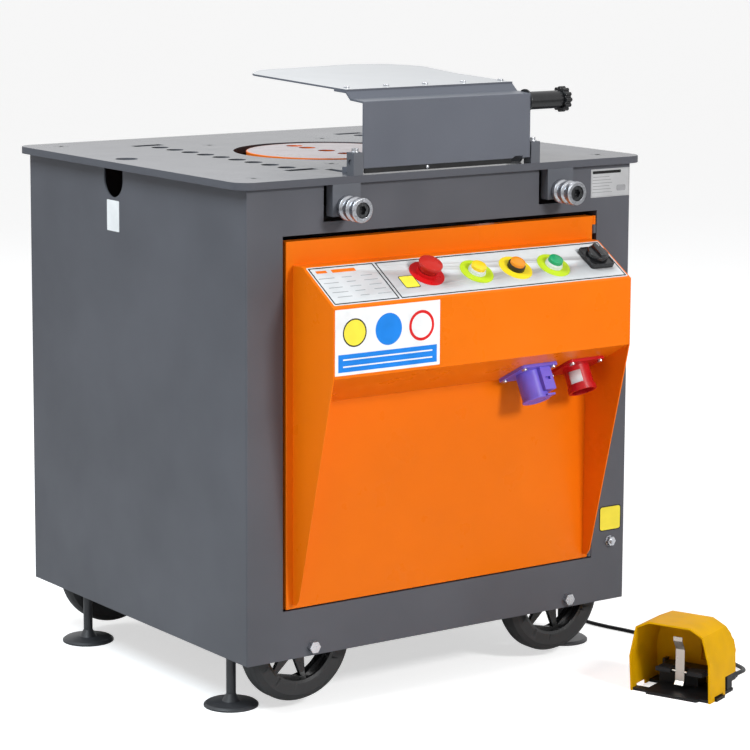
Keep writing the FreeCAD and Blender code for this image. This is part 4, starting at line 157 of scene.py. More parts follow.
class Finish:
    """A material with a few helpers for its nodes."""

    def __init__(self, name, colour, rough, metal=0.0, **sockets):
        self.material = bpy.data.materials.new(name)
        self.material.use_nodes = True
        self.tree = self.material.node_tree
        self.shader = self.tree.nodes["Principled BSDF"]
        self.set(self.shader, {"Base Color": (*colour, 1), "Roughness": rough, "Metallic": metal})
        self.set(self.shader, sockets)
        self.colour = None
        self.material.diffuse_color = (*colour, 1)

    def set(self, node, values):
        """Gives a node's sockets their values, where an underscore stands for a space."""
        for name, value in values.items():
            node.inputs[name.replace("_", " ")].default_value = value

    def node(self, kind, **values):
        made = self.tree.nodes.new("ShaderNode" + kind)
        self.set(made, values)
        return made

    def link(self, source, target):
        self.tree.links.new(source, target)

    def feed(self, socket, value):
        """Links an output to a socket, or sets the socket to a number or a colour."""
        if isinstance(value, bpy.types.NodeSocket):
            self.link(value, socket)
        else:
            socket.default_value = (*value, 1) if isinstance(value, tuple) else value

    def place(self):
        """Object coordinates, in metres from the origin."""
        if "place" not in self.tree.nodes:
            self.node("TexCoord").name = "place"
        return self.tree.nodes["place"].outputs["Object"]

    def noise(self, scale, detail=2.0, stretch=None):
        source = self.place()
        if stretch:
            mapping = self.node("Mapping")
            mapping.inputs["Scale"].default_value = stretch
            self.link(source, mapping.inputs["Vector"])
            source = mapping.outputs["Vector"]
        noise = self.node("TexNoise", Scale=scale, Detail=detail)
        self.link(source, noise.inputs["Vector"])
        return noise.outputs["Fac"]

    def spread(self, source, low, high, start=0.3, stop=0.7):
        """A noise stretched to run from low to high."""
        ranged = self.node("MapRange")
        for name, value in (("From Min", start), ("From Max", stop), ("To Min", low), ("To Max", high)):
            ranged.inputs[name].default_value = value
        self.link(source, ranged.inputs["Value"])
        return ranged.outputs["Result"]

    def mix(self, amount, one, other):
        """Mixes two colours, each a colour or an output."""
        mixer = self.tree.nodes.new("ShaderNodeMix")
        mixer.data_type = "RGBA"
        sockets = [s for s in mixer.inputs if s.type == "RGBA"]
        for socket, value in zip(sockets, (one, other)):
            self.feed(socket, value)
        self.feed(mixer.inputs[0], amount)
        return [s for s in mixer.outputs if s.type == "RGBA"][0]

    def paint(self, colour):
        """Makes an output the base colour and keeps it, so that it can be mixed once more."""
        self.link(colour, self.shader.inputs["Base Color"])
        self.colour = colour

    def roughen(self, value):
        self.link(value, self.shader.inputs["Roughness"])

    def bump(self, height, distance, strength=1.0):
        """Adds a bump over whatever bump the finish has already."""
        bump = self.node("Bump", Strength=strength, Distance=distance)
        self.link(height, bump.inputs["Height"])
        if self.shader.inputs["Normal"].is_linked:
            self.link(self.shader.inputs["Normal"].links[0].from_socket, bump.inputs["Normal"])
        self.link(bump.outputs["Normal"], self.shader.inputs["Normal"])

    def axis(self, name):
        """One coordinate of the place, in metres."""
        if "split" not in self.tree.nodes:
            split = self.node("SeparateXYZ")
            split.name = "split"
            self.link(self.place(), split.inputs[0])
        return self.tree.nodes["split"].outputs[name]

    def maths(self, operation, *values):
        """A Math node's result for outputs or numbers."""
        step = self.node("Math")
        step.operation = operation
        for socket, value in zip(step.inputs, values):
            self.feed(socket, value)
        return step.outputs[0]


print("Finish is ready to make materials")

# %% [markdown]
# ### Three kinds of finish
#
# Most surfaces of a machine are one of three: sprayed enamel, moulded plastic or bare metal. They
# differ in how far the colour varies, how rough they are and how large their grain is.

# %% Enamel, plastic and bare metal


def scaled(colour, factor):
    """A lighter or darker tone of a colour."""
    return tuple(min(1.0, c * factor) for c in colour)


# Scales of the noises, in waves to a metre.
CLOUDS, SMEARS, SKIN, DUST = 5, 14, 420, 900
TINT, HAZE, GRAIN, STAINS = 30, 60, 1500, 18


def enamel(name, colour, rough, skin=0.00006, vary=0.10, patchy=1.0, **sockets):
    """Sprayed enamel on sheet steel: a soft skin, faint clouds and fine dust."""
    made = Finish(name, colour, rough, **sockets)
    cloud = made.noise(CLOUDS, 3)
    dust = made.noise(DUST, 1)
    tone = made.mix(made.spread(cloud, 0, 1), scaled(colour, 1 - vary), scaled(colour, 1 + vary))
    made.paint(made.mix(made.spread(dust, 0, 0.10 * patchy, 0.62, 0.75), tone, scaled(colour, 1.9)))
    made.roughen(made.spread(made.noise(SMEARS, 4), rough - 0.05 * patchy, rough + 0.09 * patchy))
    made.bump(made.noise(SKIN, 2), skin, 0.5)
    return made


def plastic(name, colour, rough, grain=0.00004, **sockets):
    """Moulded plastic: an even colour with a fine matt grain."""
    made = Finish(name, colour, rough, **sockets)
    tint = made.spread(made.noise(TINT, 3), 0, 1)
    made.paint(made.mix(tint, scaled(colour, 0.93), scaled(colour, 1.06)))
    made.roughen(made.spread(made.noise(HAZE, 3), rough - 0.04, rough + 0.07))
    made.bump(made.noise(GRAIN, 1), grain, 0.4)
    return made


def bare_metal(name, colour, rough, grain=(1, 1, 12), scale=120):
    """Machined or rolled metal: fine lines along one way and slightly dull patches."""
    made = Finish(name, colour, rough, metal=1.0)
    lines = made.noise(scale, 3, grain)
    stains = made.spread(made.noise(STAINS, 3), 0, 1)
    made.paint(made.mix(stains, scaled(colour, 0.86), scaled(colour, 1.05)))
    made.roughen(made.spread(lines, rough - 0.08, rough + 0.12))
    made.bump(lines, 0.00003, 0.5)
    return made


print("noise scales from", CLOUDS, "to", GRAIN, "waves to a metre")

# %% [markdown]
# ### Enamels and metals
#
# The cabinet is slate grey, the door and console orange. The table is grey as well, but its
# surface is seen so flat that it mirrors the bright studio and looks light. The table's
# enamel is therefore smoother than the cabinet's. The screws in it are painted with it.

# %% Enamels and metals
EVEN = (1, 1, 1)
cabinet_enamel = enamel("cabinet_enamel", (0.094, 0.096, 0.110), 0.34, Specular_IOR_Level=0.25)
orange_enamel = enamel("orange_enamel", (0.82, 0.165, 0.003), 0.30, vary=0.04,
                       Specular_IOR_Level=0.12)
guard_enamel = enamel("guard_enamel", (0.112, 0.119, 0.142), 0.33, vary=0.04,
                      Specular_IOR_Level=0.25)
sheet_enamel = enamel("sheet_enamel", (0.45, 0.45, 0.46), 0.30, vary=0.03, patchy=0.3)
cast_enamel = enamel("cast_enamel", (0.085, 0.09, 0.105), 0.42, skin=0.00018)
foot_enamel = enamel("foot_enamel", (0.035, 0.036, 0.040), 0.42, vary=0.18)
zinc = bare_metal("bright_zinc", (0.62, 0.63, 0.66), 0.26, EVEN, 300)
roller_zinc = bare_metal("roller_zinc", (0.46, 0.47, 0.50), 0.30, EVEN, 300)
oxide = bare_metal("black_oxide", (0.085, 0.087, 0.09), 0.30, EVEN, 300)
machined = bare_metal("machined_steel", (0.48, 0.48, 0.50), 0.32)
motor_enamel = enamel("motor_enamel", (0.055, 0.085, 0.14), 0.40, skin=0.00015)
table_enamel = enamel("table_enamel", (0.088, 0.090, 0.104), 0.25, skin=0.000005, vary=0.03,
                      patchy=0.15, Specular_IOR_Level=0.35)
print(len(bpy.data.materials), "enamels and metals")

# %% [markdown]
# ### The disc's two finishes
#
# The disc is painted orange, but its top is turned bare: bars slide on it. One material can
# hold both. Height and distance from the axis say where the bare ring is, and the distance also
# drives fine circles, the marks that a lathe leaves.

# %% The disc's finish
BARE_ABOVE, BARE_WITHIN = -0.00035, 0.1370
# The pink tint in both bare steel tones is a painted reflection; the lathe marks and the stain are its
# own.
STEEL_DARK, STEEL_LIGHT, STAIN = (0.25, 0.22, 0.235), (0.36, 0.32, 0.34), (0.21, 0.17, 0.165)
disc_finish = enamel("disc_enamel", (0.90, 0.17, 0.004), 0.30, vary=0.05, Specular_IOR_Level=0.2)
across = disc_finish.maths("POWER", disc_finish.axis("X"), 2.0)
along = disc_finish.maths("POWER", disc_finish.axis("Y"), 2.0)
radius = disc_finish.maths("SQRT", disc_finish.maths("ADD", across, along))
on_top = disc_finish.maths("GREATER_THAN", disc_finish.axis("Z"), BARE_ABOVE)
inside = disc_finish.maths("LESS_THAN", radius, BARE_WITHIN)
bare = disc_finish.maths("MULTIPLY", on_top, inside)
marks = disc_finish.node("TexNoise", Scale=900.0, Detail=2.0)
marks.noise_dimensions = "1D"
disc_finish.link(radius, marks.inputs["W"])
steel_tone = disc_finish.mix(disc_finish.spread(marks.outputs["Fac"], 0, 1), STEEL_DARK, STEEL_LIGHT)
stains = disc_finish.spread(disc_finish.noise(40, 4), 0, 0.5, 0.5, 0.7)
stained = disc_finish.mix(stains, steel_tone, STAIN)
disc_finish.paint(disc_finish.mix(bare, disc_finish.colour, stained))
disc_finish.link(bare, disc_finish.shader.inputs["Metallic"])
print("disc finish", len(disc_finish.tree.nodes), "nodes")

# %% [markdown]
# ### Plastics and printed colours
#
# Moulded plastic has an even colour, and its gloss says what it is: the buttons are nearly
# mirrors, the tyres are dull. The strong colours get a low specular level, because a white
# haze over them would make them pale. Printed colours are thin films on the labels.

# %% Plastics, rubber and printed colours
black_mould = plastic("black_mould", (0.008, 0.008, 0.009), 0.40, Specular_IOR_Level=0.3)
handle_black = plastic("handle_black", (0.010, 0.010, 0.011), 0.22, 0.00001)
black_gloss = plastic("black_gloss", (0.012, 0.012, 0.013), 0.14, 0.00001)
rim_black = plastic("rim_black", (0.014, 0.014, 0.015), 0.22, 0.00002)
rubber = plastic("tyre_rubber", (0.018, 0.018, 0.019), 0.62, 0.0001)
sheath = plastic("cable_sheath", (0.007, 0.007, 0.008), 0.45, Specular_IOR_Level=0.3)
grey_mould = plastic("grey_mould", (0.42, 0.43, 0.43), 0.45)
stop_red = plastic("stop_red", (0.52, 0.020, 0.013), 0.22, 0.00001, Specular_IOR_Level=0.25)
disc_red = plastic("disc_red", (0.60, 0.010, 0.012), 0.30, Specular_IOR_Level=0.2)
disc_yellow = plastic("disc_yellow", (0.88, 0.66, 0.02), 0.30, Specular_IOR_Level=0.15)
disc_lime = plastic("disc_lime", (0.50, 0.66, 0.02), 0.30, Specular_IOR_Level=0.15)
violet = plastic("socket_violet", (0.17, 0.12, 0.62), 0.34, Specular_IOR_Level=0.35)
inlet_red = plastic("inlet_red", (0.50, 0.008, 0.012), 0.30, Specular_IOR_Level=0.35)
hood_yellow = plastic("hood_yellow", (0.68, 0.36, 0.001), 0.42, 0.00012, Specular_IOR_Level=0.05)
print_white = plastic("print_white", (0.86, 0.86, 0.86), 0.35, 0.00001)
print_pale = plastic("print_pale", (0.66, 0.665, 0.67), 0.35, 0.00001)
print_black = plastic("print_black", (0.012, 0.012, 0.012), 0.40, 0.00001, Specular_IOR_Level=0.2)
print_orange = plastic("print_orange", (0.84, 0.17, 0.01), 0.40, 0.00001, Specular_IOR_Level=0.2)
print_blue = plastic("print_blue", (0.01, 0.22, 0.74), 0.40, 0.00001, Specular_IOR_Level=0.2)
print_yellow = plastic("print_yellow", (0.90, 0.76, 0.06), 0.40, 0.00001, Specular_IOR_Level=0.2)
print_grey = plastic("print_grey", (0.30, 0.30, 0.31), 0.40, 0.00001)
print_red = plastic("print_red", (0.70, 0.010, 0.012), 0.40, 0.00001, Specular_IOR_Level=0.2)
lens_yellow = plastic("lens_yellow", (0.90, 0.60, 0.01), 0.14, 0.0)
lens_amber = plastic("lens_amber", (0.86, 0.28, 0.004), 0.14, 0.0)
lens_green = plastic("lens_green", (0.006, 0.33, 0.12), 0.14, 0.0)
clear_ring = plastic("clear_ring", (0.66, 0.70, 0.68), 0.10, 0.0, Coat_Weight=0.6)
silver_foil = bare_metal("silver_foil", (0.72, 0.72, 0.73), 0.35, (30, 1, 1), 200)
latch_steel = bare_metal("latch_steel", (0.58, 0.55, 0.50), 0.34, EVEN, 80)
print(len(bpy.data.materials), "finishes")

# %% [markdown]
# ## Soft edges
#
# A CAD solid has knife-sharp edges, and no real sheet or casting has. Light catches a real
# edge as a thin bright line. `soft_copy` copies a node's mesh, joins its loose triangles,
# clears the lines inside flat faces and rounds each sharp edge with the Bevel modifier. The
# Weighted Normal modifier lets the large faces decide how light falls on the corners, so flat
# sheets stay flat up to their rounds. The copy then stands for the node.

# %% Kit for pieces made from CAD nodes
SAME_POINT, SAME_PLANE = 0.000002, math.radians(0.6)


def only(piece):
    """Selects one object and makes it active."""
    if bpy.context.object and bpy.context.object.mode != "OBJECT":
        bpy.ops.object.mode_set(mode="OBJECT")
    bpy.ops.object.select_all(action="DESELECT")
    piece.select_set(True)
    bpy.context.view_layer.objects.active = piece


def apply(piece, kind, **settings):
    """Adds a modifier, sets it and applies it."""
    only(piece)
    modifier = piece.modifiers.new("step", kind)
    for name, value in settings.items():
        setattr(modifier, name, value)
    bpy.ops.object.modifier_apply(modifier=modifier.name)


def rounded(piece, width, segments=2, angle=30):
    """Rounds the edges that are sharper than an angle."""
    apply(piece, "BEVEL", width=width, segments=segments, limit_method="ANGLE",
          angle_limit=math.radians(angle), harden_normals=False)
    only(piece)
    bpy.ops.object.shade_smooth_by_angle(angle=math.radians(40))
    apply(piece, "WEIGHTED_NORMAL", keep_sharp=True)


def dress(piece, finishes):
    """Gives a piece one finish or a list of them."""
    piece.data.materials.clear()
    for finish in finishes if isinstance(finishes, (list, tuple)) else [finishes]:
        piece.data.materials.append(finish.material)


def join_triangles(piece):
    """Merges the loose corners of a copied CAD mesh and clears the lines in its flat faces."""
    only(piece)
    bpy.ops.object.mode_set(mode="EDIT")
    bpy.ops.mesh.select_all(action="SELECT")
    bpy.ops.mesh.customdata_custom_splitnormals_clear()
    bpy.ops.mesh.remove_doubles(threshold=SAME_POINT)
    bpy.ops.mesh.dissolve_limited(angle_limit=SAME_PLANE)
    bpy.ops.object.mode_set(mode="OBJECT")


def copy_of(node, name):
    """A merged copy of a node's mesh."""
    piece = bpy.data.objects.new(name, frame["nodes"][node].data.copy())
    bpy.context.scene.collection.objects.link(piece)
    join_triangles(piece)
    return piece


def stands_for(piece, *nodes):
    """The piece rides on the nodes' body and hides them."""
    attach(piece, body_of_node[nodes[0]])
    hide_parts(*nodes)


def soft_copy(node, finishes, width, segments=2, angle=30):
    """A copy with round edges and a finish, which stands for its node."""
    piece = copy_of(node, node + "_soft")
    rounded(piece, width, segments, angle)
    dress(piece, finishes)
    stands_for(piece, node)
    return piece


def told(*pieces):
    """Prints the pieces' sizes."""
    for piece in pieces:
        print(piece.name, " x ".join("%.1f" % (1000 * side) for side in piece.dimensions), "mm")


def paint_where(piece, number, wanted):
    """Gives the faces for which wanted holds the piece's finish of that number."""
    for face in piece.data.polygons:
        if wanted(face.center, face.normal):
            face.material_index = number


print("copy kit ready")

# %% [markdown]
# ## Cabinet, table and running gear
#
# These are folded sheets, castings and bought parts, and their CAD shapes are complete. They
# only need soft edges: a wide one where sheet is folded, a narrow one where it was sawn. The
# table's screws are painted with it, and their faces that don't face up are black: painted shade
# in the gap round each head and in its recess.

# %% Cabinet and table
soft_copy("table_top", table_enamel, 0.0004)
for node in ("front_panel", "left_panel", "right_panel", "rear_panel", "base_rail_front",
             "base_rail_rear", "door_hinges"):
    soft_copy(node, cabinet_enamel, 0.0004)
for node in ("roller_lugs", "guard_posts"):
    soft_copy(node, cast_enamel, 0.0008)
soft_copy("guard_pins", cast_enamel, 0.0003)
for node in ("gearbox_housing", "gearbox_cover"):
    soft_copy(node, cast_enamel, 0.0015)
soft_copy("motor", motor_enamel, 0.0006)
FACES_UP = 0.95
screws = soft_copy("table_screws", [table_enamel, print_black], 0.0018)
# Black on the screws' faces that don't face up is painted shade in their gaps and recesses.
paint_where(screws, 1, lambda c, n: n.z < FACES_UP)
for node in ("wheel_bolts", "earth_bolt", "post_screws", "guard_screws", "socket_screws"):
    soft_copy(node, zinc, 0.0004)
soft_copy("roller_screws", oxide, 0.0004)
for node in ("roller_left", "roller_right"):
    soft_copy(node, roller_zinc, 0.0004)
for node in ("spindle", "bull_gear", "pinion_shaft"):
    soft_copy(node, machined, 0.0003)
soft_copy("guard_switch", black_mould, 0.0008)
soft_copy("bending_disc", disc_finish, 0.0003)
for node in ("foot_front_left", "foot_front_right", "foot_rear_left", "foot_rear_right"):
    soft_copy(node, foot_enamel, 0.0005)

# %% [markdown]
# ### Wheels
#
# A wheel's CAD node holds the tyre and the rim. Their finishes differ, so each face of the copy
# is asked how far it lies from the axle: far out it is rubber, further in glossy plastic.

# %% Wheels
AXLE_X, AXLE_Z, RIM_RADIUS = 0.2645, -0.7603, 0.0708
for row in ("front", "rear"):
    for side, axle_x in (("left", -AXLE_X), ("right", AXLE_X)):
        wheel = soft_copy("wheel_%s_%s" % (row, side), [rim_black, rubber], 0.0012, 3, 25)
        paint_where(wheel, 1, lambda c, n: math.hypot(c.x - axle_x, c.z - AXLE_Z) > RIM_RADIUS)
        told(wheel)

# %% [markdown]
# ## Tools for new pieces
#
# What follows is new: pieces that the CAD model leaves plain. All are drawn lying at the origin,
# which keeps the numbers simple, and are then set in their place by a placement. On an upright
# wall a placement's X runs to the right, its Y up and its Z out of the wall.

# %% Placements


def at(place, x=0.0, y=0.0, z=0.0):
    """A placement moved within its own frame."""
    return place @ Matrix.Translation((x, y, z))


def wall(point, heading=0.0):
    """A placement on an upright wall: X to the viewer's right, Y up, Z out of the wall."""
    return (Matrix.Translation(point) @ Matrix.Rotation(math.radians(heading), 4, "Z")
            @ Matrix.Rotation(math.pi / 2, 4, "X"))


print("placements ready")

# %% [markdown]
# ### Beginning and ending a piece
#
# Every new piece starts from a primitive that is shaped in edit mode. `begin` adds the primitive
# and opens it, `stretch` and `lift` shape it, and `end` closes it and sets it in its place.

# %% Edit mode


def begin(name, kind, **settings):
    """Adds a primitive and opens it in edit mode with everything selected."""
    if bpy.context.object and bpy.context.object.mode != "OBJECT":
        bpy.ops.object.mode_set(mode="OBJECT")
    bpy.ops.object.select_all(action="DESELECT")
    getattr(bpy.ops.mesh, "primitive_%s_add" % kind)(**settings)
    piece = bpy.context.object
    piece.name = name
    piece.data.name = name
    bpy.ops.object.mode_set(mode="EDIT")
    bpy.ops.mesh.select_mode(type="VERT")
    bpy.ops.mesh.select_all(action="SELECT")
    return piece


def end(piece, place=Matrix()):
    """Turns the faces outwards, leaves edit mode and moves the piece to its place."""
    bpy.ops.mesh.select_all(action="SELECT")
    bpy.ops.mesh.normals_make_consistent(inside=False)
    bpy.ops.object.mode_set(mode="OBJECT")
    piece.matrix_world = place
    only(piece)
    bpy.ops.object.transform_apply(location=True, rotation=True, scale=True)
    bpy.ops.object.shade_smooth_by_angle(angle=math.radians(35))
    return piece


def stretch(x, y):
    """Scales what is selected about the origin."""
    bpy.ops.transform.resize(value=(x, y, 1), center_override=(0, 0, 0))


def lift(height):
    """Extrudes the selected face upwards, or downwards for a negative height."""
    bpy.ops.mesh.extrude_region_move(TRANSFORM_OT_translate={"value": (0, 0, height)})


print("edit mode helpers ready")

# %% [markdown]
# ### Round pieces
#
# `chain` merges a plane into one point and extrudes the point into a line. `turned` takes such a
# line as half of an outline, and the Spin tool sweeps it round the axis.

# %% Round pieces
SEAM = 0.000005


def chain(name, points):
    """Begins a piece that is a line through points."""
    piece = begin(name, "plane", size=0.001)
    bpy.ops.mesh.merge(type="CENTER")
    pen = Vector(points[0])
    bpy.ops.transform.translate(value=pen)
    for point in points[1:]:
        target = Vector(point)
        bpy.ops.mesh.extrude_vertices_move(TRANSFORM_OT_translate={"value": target - pen})
        pen = target
    bpy.ops.mesh.select_all(action="SELECT")
    return piece


def turned(name, profile, finishes, place, steps=48):
    """A round piece from (radius, height) points."""
    piece = chain(name, [(radius, 0, height) for radius, height in profile])
    bpy.ops.mesh.spin(steps=steps, angle=math.tau, center=(0, 0, 0), axis=(0, 0, 1))
    bpy.ops.mesh.select_all(action="SELECT")
    bpy.ops.mesh.remove_doubles(threshold=SEAM)
    end(piece, place)
    dress(piece, finishes)
    return piece


print("tools for round pieces ready")

# %% [markdown]
# ### Flat pieces
#
# `blank` scales a plane, bevels its corners and extrudes the face. `plate` does the same and sets
# the piece in its place. `joined` makes one object of several pieces, and `rides` lets a new
# piece move with a body of the CAD model.

# %% Flat pieces


def blank(name, width, height, thick, corner):
    """Begins a flat piece with round corners and leaves its upper face selected."""
    piece = begin(name, "plane", size=1)
    stretch(width, height)
    bpy.ops.mesh.bevel(offset=corner, segments=5, affect="VERTICES")
    bpy.ops.mesh.select_all(action="SELECT")
    lift(thick)
    return piece


def plate(name, width, height, thick, corner, finishes, place):
    """A flat piece with round corners, its back on the wall."""
    piece = blank(name, width, height, thick, corner)
    end(piece, place)
    dress(piece, finishes)
    return piece


def joined(name, pieces):
    """Joins pieces to one object that keeps their finishes."""
    only(pieces[0])
    for piece in pieces:
        piece.select_set(True)
    bpy.ops.object.join()
    pieces[0].name = name
    return pieces[0]


def rides(piece, body):
    """A new piece that adds to the CAD model and moves with one of its bodies."""
    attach(piece, body)


print("tools for flat pieces ready")

# %% [markdown]
# ## Guard
#
# The bracket is one folded sheet whose low arms, behind the plate, are painted black as shade.
# The cover sheet on it is thin and has a pale top, while its edges and its underside are dark:
# painted shade. The handle is a moulded tube with a lobed knob. A black strip, held by a screw,
# closes the gap between the bracket and the table; it stands for a rubber seal, and its black
# paints the shade in that gap. It hangs 2 mm above the table, so that it clears the table while
# the guard swings about its pins.

# %% Guard
PLATE_BACK, ARM_TOP, UPPER_SIDE = -0.3515, 0.032, 0.5
STRIP_LONG, STRIP_HIGH, STRIP_THICK = 0.296, 0.008, 0.0025
bracket = soft_copy("guard_bracket", [guard_enamel, black_mould], 0.0008, 3)
# The low arms behind the plate get black as painted shade.
paint_where(bracket, 1, lambda c, n: c.y > PLATE_BACK and c.z < ARM_TOP)
cover = soft_copy("guard_sheet", [sheet_enamel, guard_enamel], 0.0006)
# The cover's faces that don't face up get the dark enamel as painted shade.
paint_where(cover, 1, lambda c, n: n.z < UPPER_SIDE)
soft_copy("guard_handle", handle_black, 0.0012, 3)
soft_copy("handle_knob", handle_black, 0.0010, 3)
# The black strip partly paints the shade in the gap under the plate.
strip_place = wall((-0.026, -0.359, 0.006))
strip = plate("guard_strip", STRIP_LONG, STRIP_HIGH, STRIP_THICK, 0.002, black_mould, strip_place)
screw_head = [(0, 0), (0.0032, 0), (0.0030, 0.0010), (0.0018, 0.0018), (0, 0.0020)]
strip_screw = turned("strip_screw", screw_head, roller_zinc,
                     at(strip_place, -0.024, 0, STRIP_THICK), steps=24)
strip = joined("guard_strip", [strip, strip_screw])
rides(strip, body_of_node["guard_bracket"])
told(bracket, cover, strip)

# %% [markdown]
# ## Door and console
#
# The leaf is a shallow tray, and the console is a folded box on it. Their folds have a radius
# of about the sheet's thickness. The discs round the controls are one CAD node. The one under
# the emergency stop is red, the amber button's is yellow and the others are lime.

# %% Door and console
STOP_ENDS, AMBER_BEGINS, AMBER_ENDS = -0.04, 0.05, 0.125
soft_copy("door_leaf", orange_enamel, 0.0012, 3)
soft_copy("console", orange_enamel, 0.0010, 3)
soft_copy("contactors", grey_mould, 0.0010)
soft_copy("cable_gland", grey_mould, 0.0006)
legends = soft_copy("legend_discs", [disc_lime, disc_red, disc_yellow], 0.0003)
paint_where(legends, 1, lambda c, n: c.x < STOP_ENDS)
paint_where(legends, 2, lambda c, n: AMBER_BEGINS < c.x < AMBER_ENDS)
soft_copy("outlet_body", violet, 0.0008, 3)
soft_copy("outlet_lid", violet, 0.0008, 3)
inlet = soft_copy("inlet_body", inlet_red, 0.0008, 3)
told(legends, inlet)

# %% [markdown]
# A small white plate is bent round the inlet's sleeve. It is a short line, swept through part of
# a turn by the Spin tool and made thick by the Solidify modifier.

# %% The plate on the inlet
inlet_place = (Matrix.Translation((0.245, -0.385, -0.3437))
               @ Matrix.Rotation(math.radians(152.43), 4, "X")
               @ Matrix.Rotation(math.radians(170), 4, "Z"))
SLEEVE, PLATE_FROM, PLATE_TO = 0.0229, 0.014, 0.035
bent = chain("inlet_plate", [(SLEEVE, 0, PLATE_FROM), (SLEEVE, 0, PLATE_TO)])
bpy.ops.mesh.spin(steps=10, angle=math.radians(56), center=(0, 0, 0), axis=(0, 0, 1))
end(bent, inlet_place)
apply(bent, "SOLIDIFY", thickness=0.0003, offset=0)
dress(bent, print_pale)
rides(bent, "door")
told(bent)

# %% [markdown]
# ## Controls on the slope
#
# The emergency stop is a mushroom: a straight neck, a flare and a low dome. The flare is a
# quarter of an ellipse and the dome a flat one, so both are written as formulas and the
# `turned` tool does the rest. The outline goes on behind the panel as the stem, because the
# door opens and shows it.

# %% Emergency stop
SLOPE = Matrix.Translation((0, -0.376, -0.137)) @ Matrix.Rotation(math.radians(31.83), 4, "X")
CONTROLS = {"stop": (-0.0875, 0.043), "yellow": (0.0085, 0.050), "amber": (0.0885, 0.050),
            "green": (0.166, 0.053), "rotary": (0.259, 0.048)}


def control(name):
    """The placement of a control on the slope."""
    x, down = CONTROLS[name]
    return at(SLOPE, x, -down)


def quarter(centre, size, first, last, steps=6):
    """Points on part of an ellipse, from one angle to another in degrees."""
    for k in range(steps + 1):
        angle = math.radians(first + (last - first) * k / steps)
        yield centre[0] + size[0] * math.cos(angle), centre[1] + size[1] * math.sin(angle)


stem = [(0, -0.028), (0.004, -0.028), (0.004, 0.0066)]
flare = list(quarter((0.0189, 0.0110), (0.0048, 0.0070), 180, 90))
lip = list(quarter((0.0190, 0.0218), (0.0010, 0.0014), 0, 80, 4))
dome = list(quarter((0, 0.0215), (0.0180, 0.0045), 66, 90, 5))
head = turned("stop_mushroom", stem + [(0.0132, 0.0066), (0.0141, 0.0074)] + flare
              + [(0.0198, 0.0184), (0.0200, 0.0190)] + lip + dome, stop_red, control("stop"))
stands_for(head, "estop_head")
told(head)

# %% [markdown]
# Each button is a coloured cap in a ring. The cap has a straight side, a small round and a
# slightly domed top. The clear rings of the yellow and the green button are stepped. The black
# ring of the amber one has grip ribs: of every four columns of its corners two are drawn inwards.

# %% Buttons and their rings
cap = ([(0, -0.026), (0.005, -0.026), (0.005, 0.0068), (0.0118, 0.0068), (0.0125, 0.0074)]
       + list(quarter((0.0113, 0.0139), (0.0012, 0.0012), 0, 90, 4))
       + [(0.0104, 0.0151), (0.0100, 0.0153)] + list(quarter((0, 0.0148), (0.0125, 0.0012), 40, 90, 5)))
for name, lens in (("yellow", lens_yellow), ("amber", lens_amber), ("green", lens_green)):
    button = turned("button_cap_" + name, cap, lens, control(name))
    stands_for(button, "button_" + name)
    told(button)

sleeve = [(0.0051, 0.003), (0.0051, -0.034), (0.011, -0.034), (0.011, 0.0013)]
stepped = sleeve + [(0.0150, 0.0013), (0.0150, 0.0030), (0.0143, 0.0034), (0.0143, 0.0062),
                    (0.0138, 0.0066), (0.0136, 0.0083), (0.0132, 0.0090), (0.01256, 0.0090),
                    (0.01256, 0.003), (0.0051, 0.003)]
ribbed = sleeve + [(0.0150, 0.0013), (0.0150, 0.0070), (0.0146, 0.0086), (0.0140, 0.0090),
                   (0.01256, 0.0090), (0.01256, 0.003), (0.0051, 0.003)]
rings = [turned("ring_" + name, stepped, clear_ring, control(name)) for name in ("yellow", "green")]
RIBS, RIB_FOOT, RIB_TOP, GROOVE = 36, 0.0014, 0.0075, 0.955


def pick(piece, wanted):
    """Selects, in edit mode, the corners for which wanted holds."""
    bpy.ops.mesh.select_mode(type="VERT")
    bpy.ops.mesh.select_all(action="DESELECT")
    bpy.ops.object.mode_set(mode="OBJECT")
    for corner in piece.data.vertices:
        corner.select = wanted(corner.co)
    bpy.ops.object.mode_set(mode="EDIT")


black_ring = turned("ring_amber", ribbed, black_gloss, Matrix(), steps=4 * RIBS)
only(black_ring)
bpy.ops.object.mode_set(mode="EDIT")
pick(black_ring, lambda c: math.hypot(c.x, c.y) > 0.0138 and RIB_FOOT < c.z < RIB_TOP
     and round(math.atan2(c.y, c.x) / math.tau * 4 * RIBS) % 4 < 2)
stretch(GROOVE, GROOVE)
end(black_ring, control("amber"))
bezels = joined("button_rings", [black_ring] + rings)
stands_for(bezels, "button_bezels")
print("rings", len(bezels.data.polygons), "faces")

# %% [markdown]
# The rotary switch has a square plate with a raised rim and a round dial with a grip across it.
# The plate's rim comes from an inset and a push down of the inner face. The grip is a plate too:
# it is drawn on the dial, made narrower at the top and bevelled until no edge is sharp.

# %% Rotary switch
soft_copy("switch_plate", black_gloss, 0.0010, 3)
rim = blank("switch_rim", 0.047, 0.047, 0.0014, 0.005)
bpy.ops.mesh.inset(thickness=0.0022)
lift(-0.0011)
end(rim, at(control("rotary"), z=0.0079))
dress(rim, black_gloss)
rounded(rim, 0.0003)
rides(rim, "door")

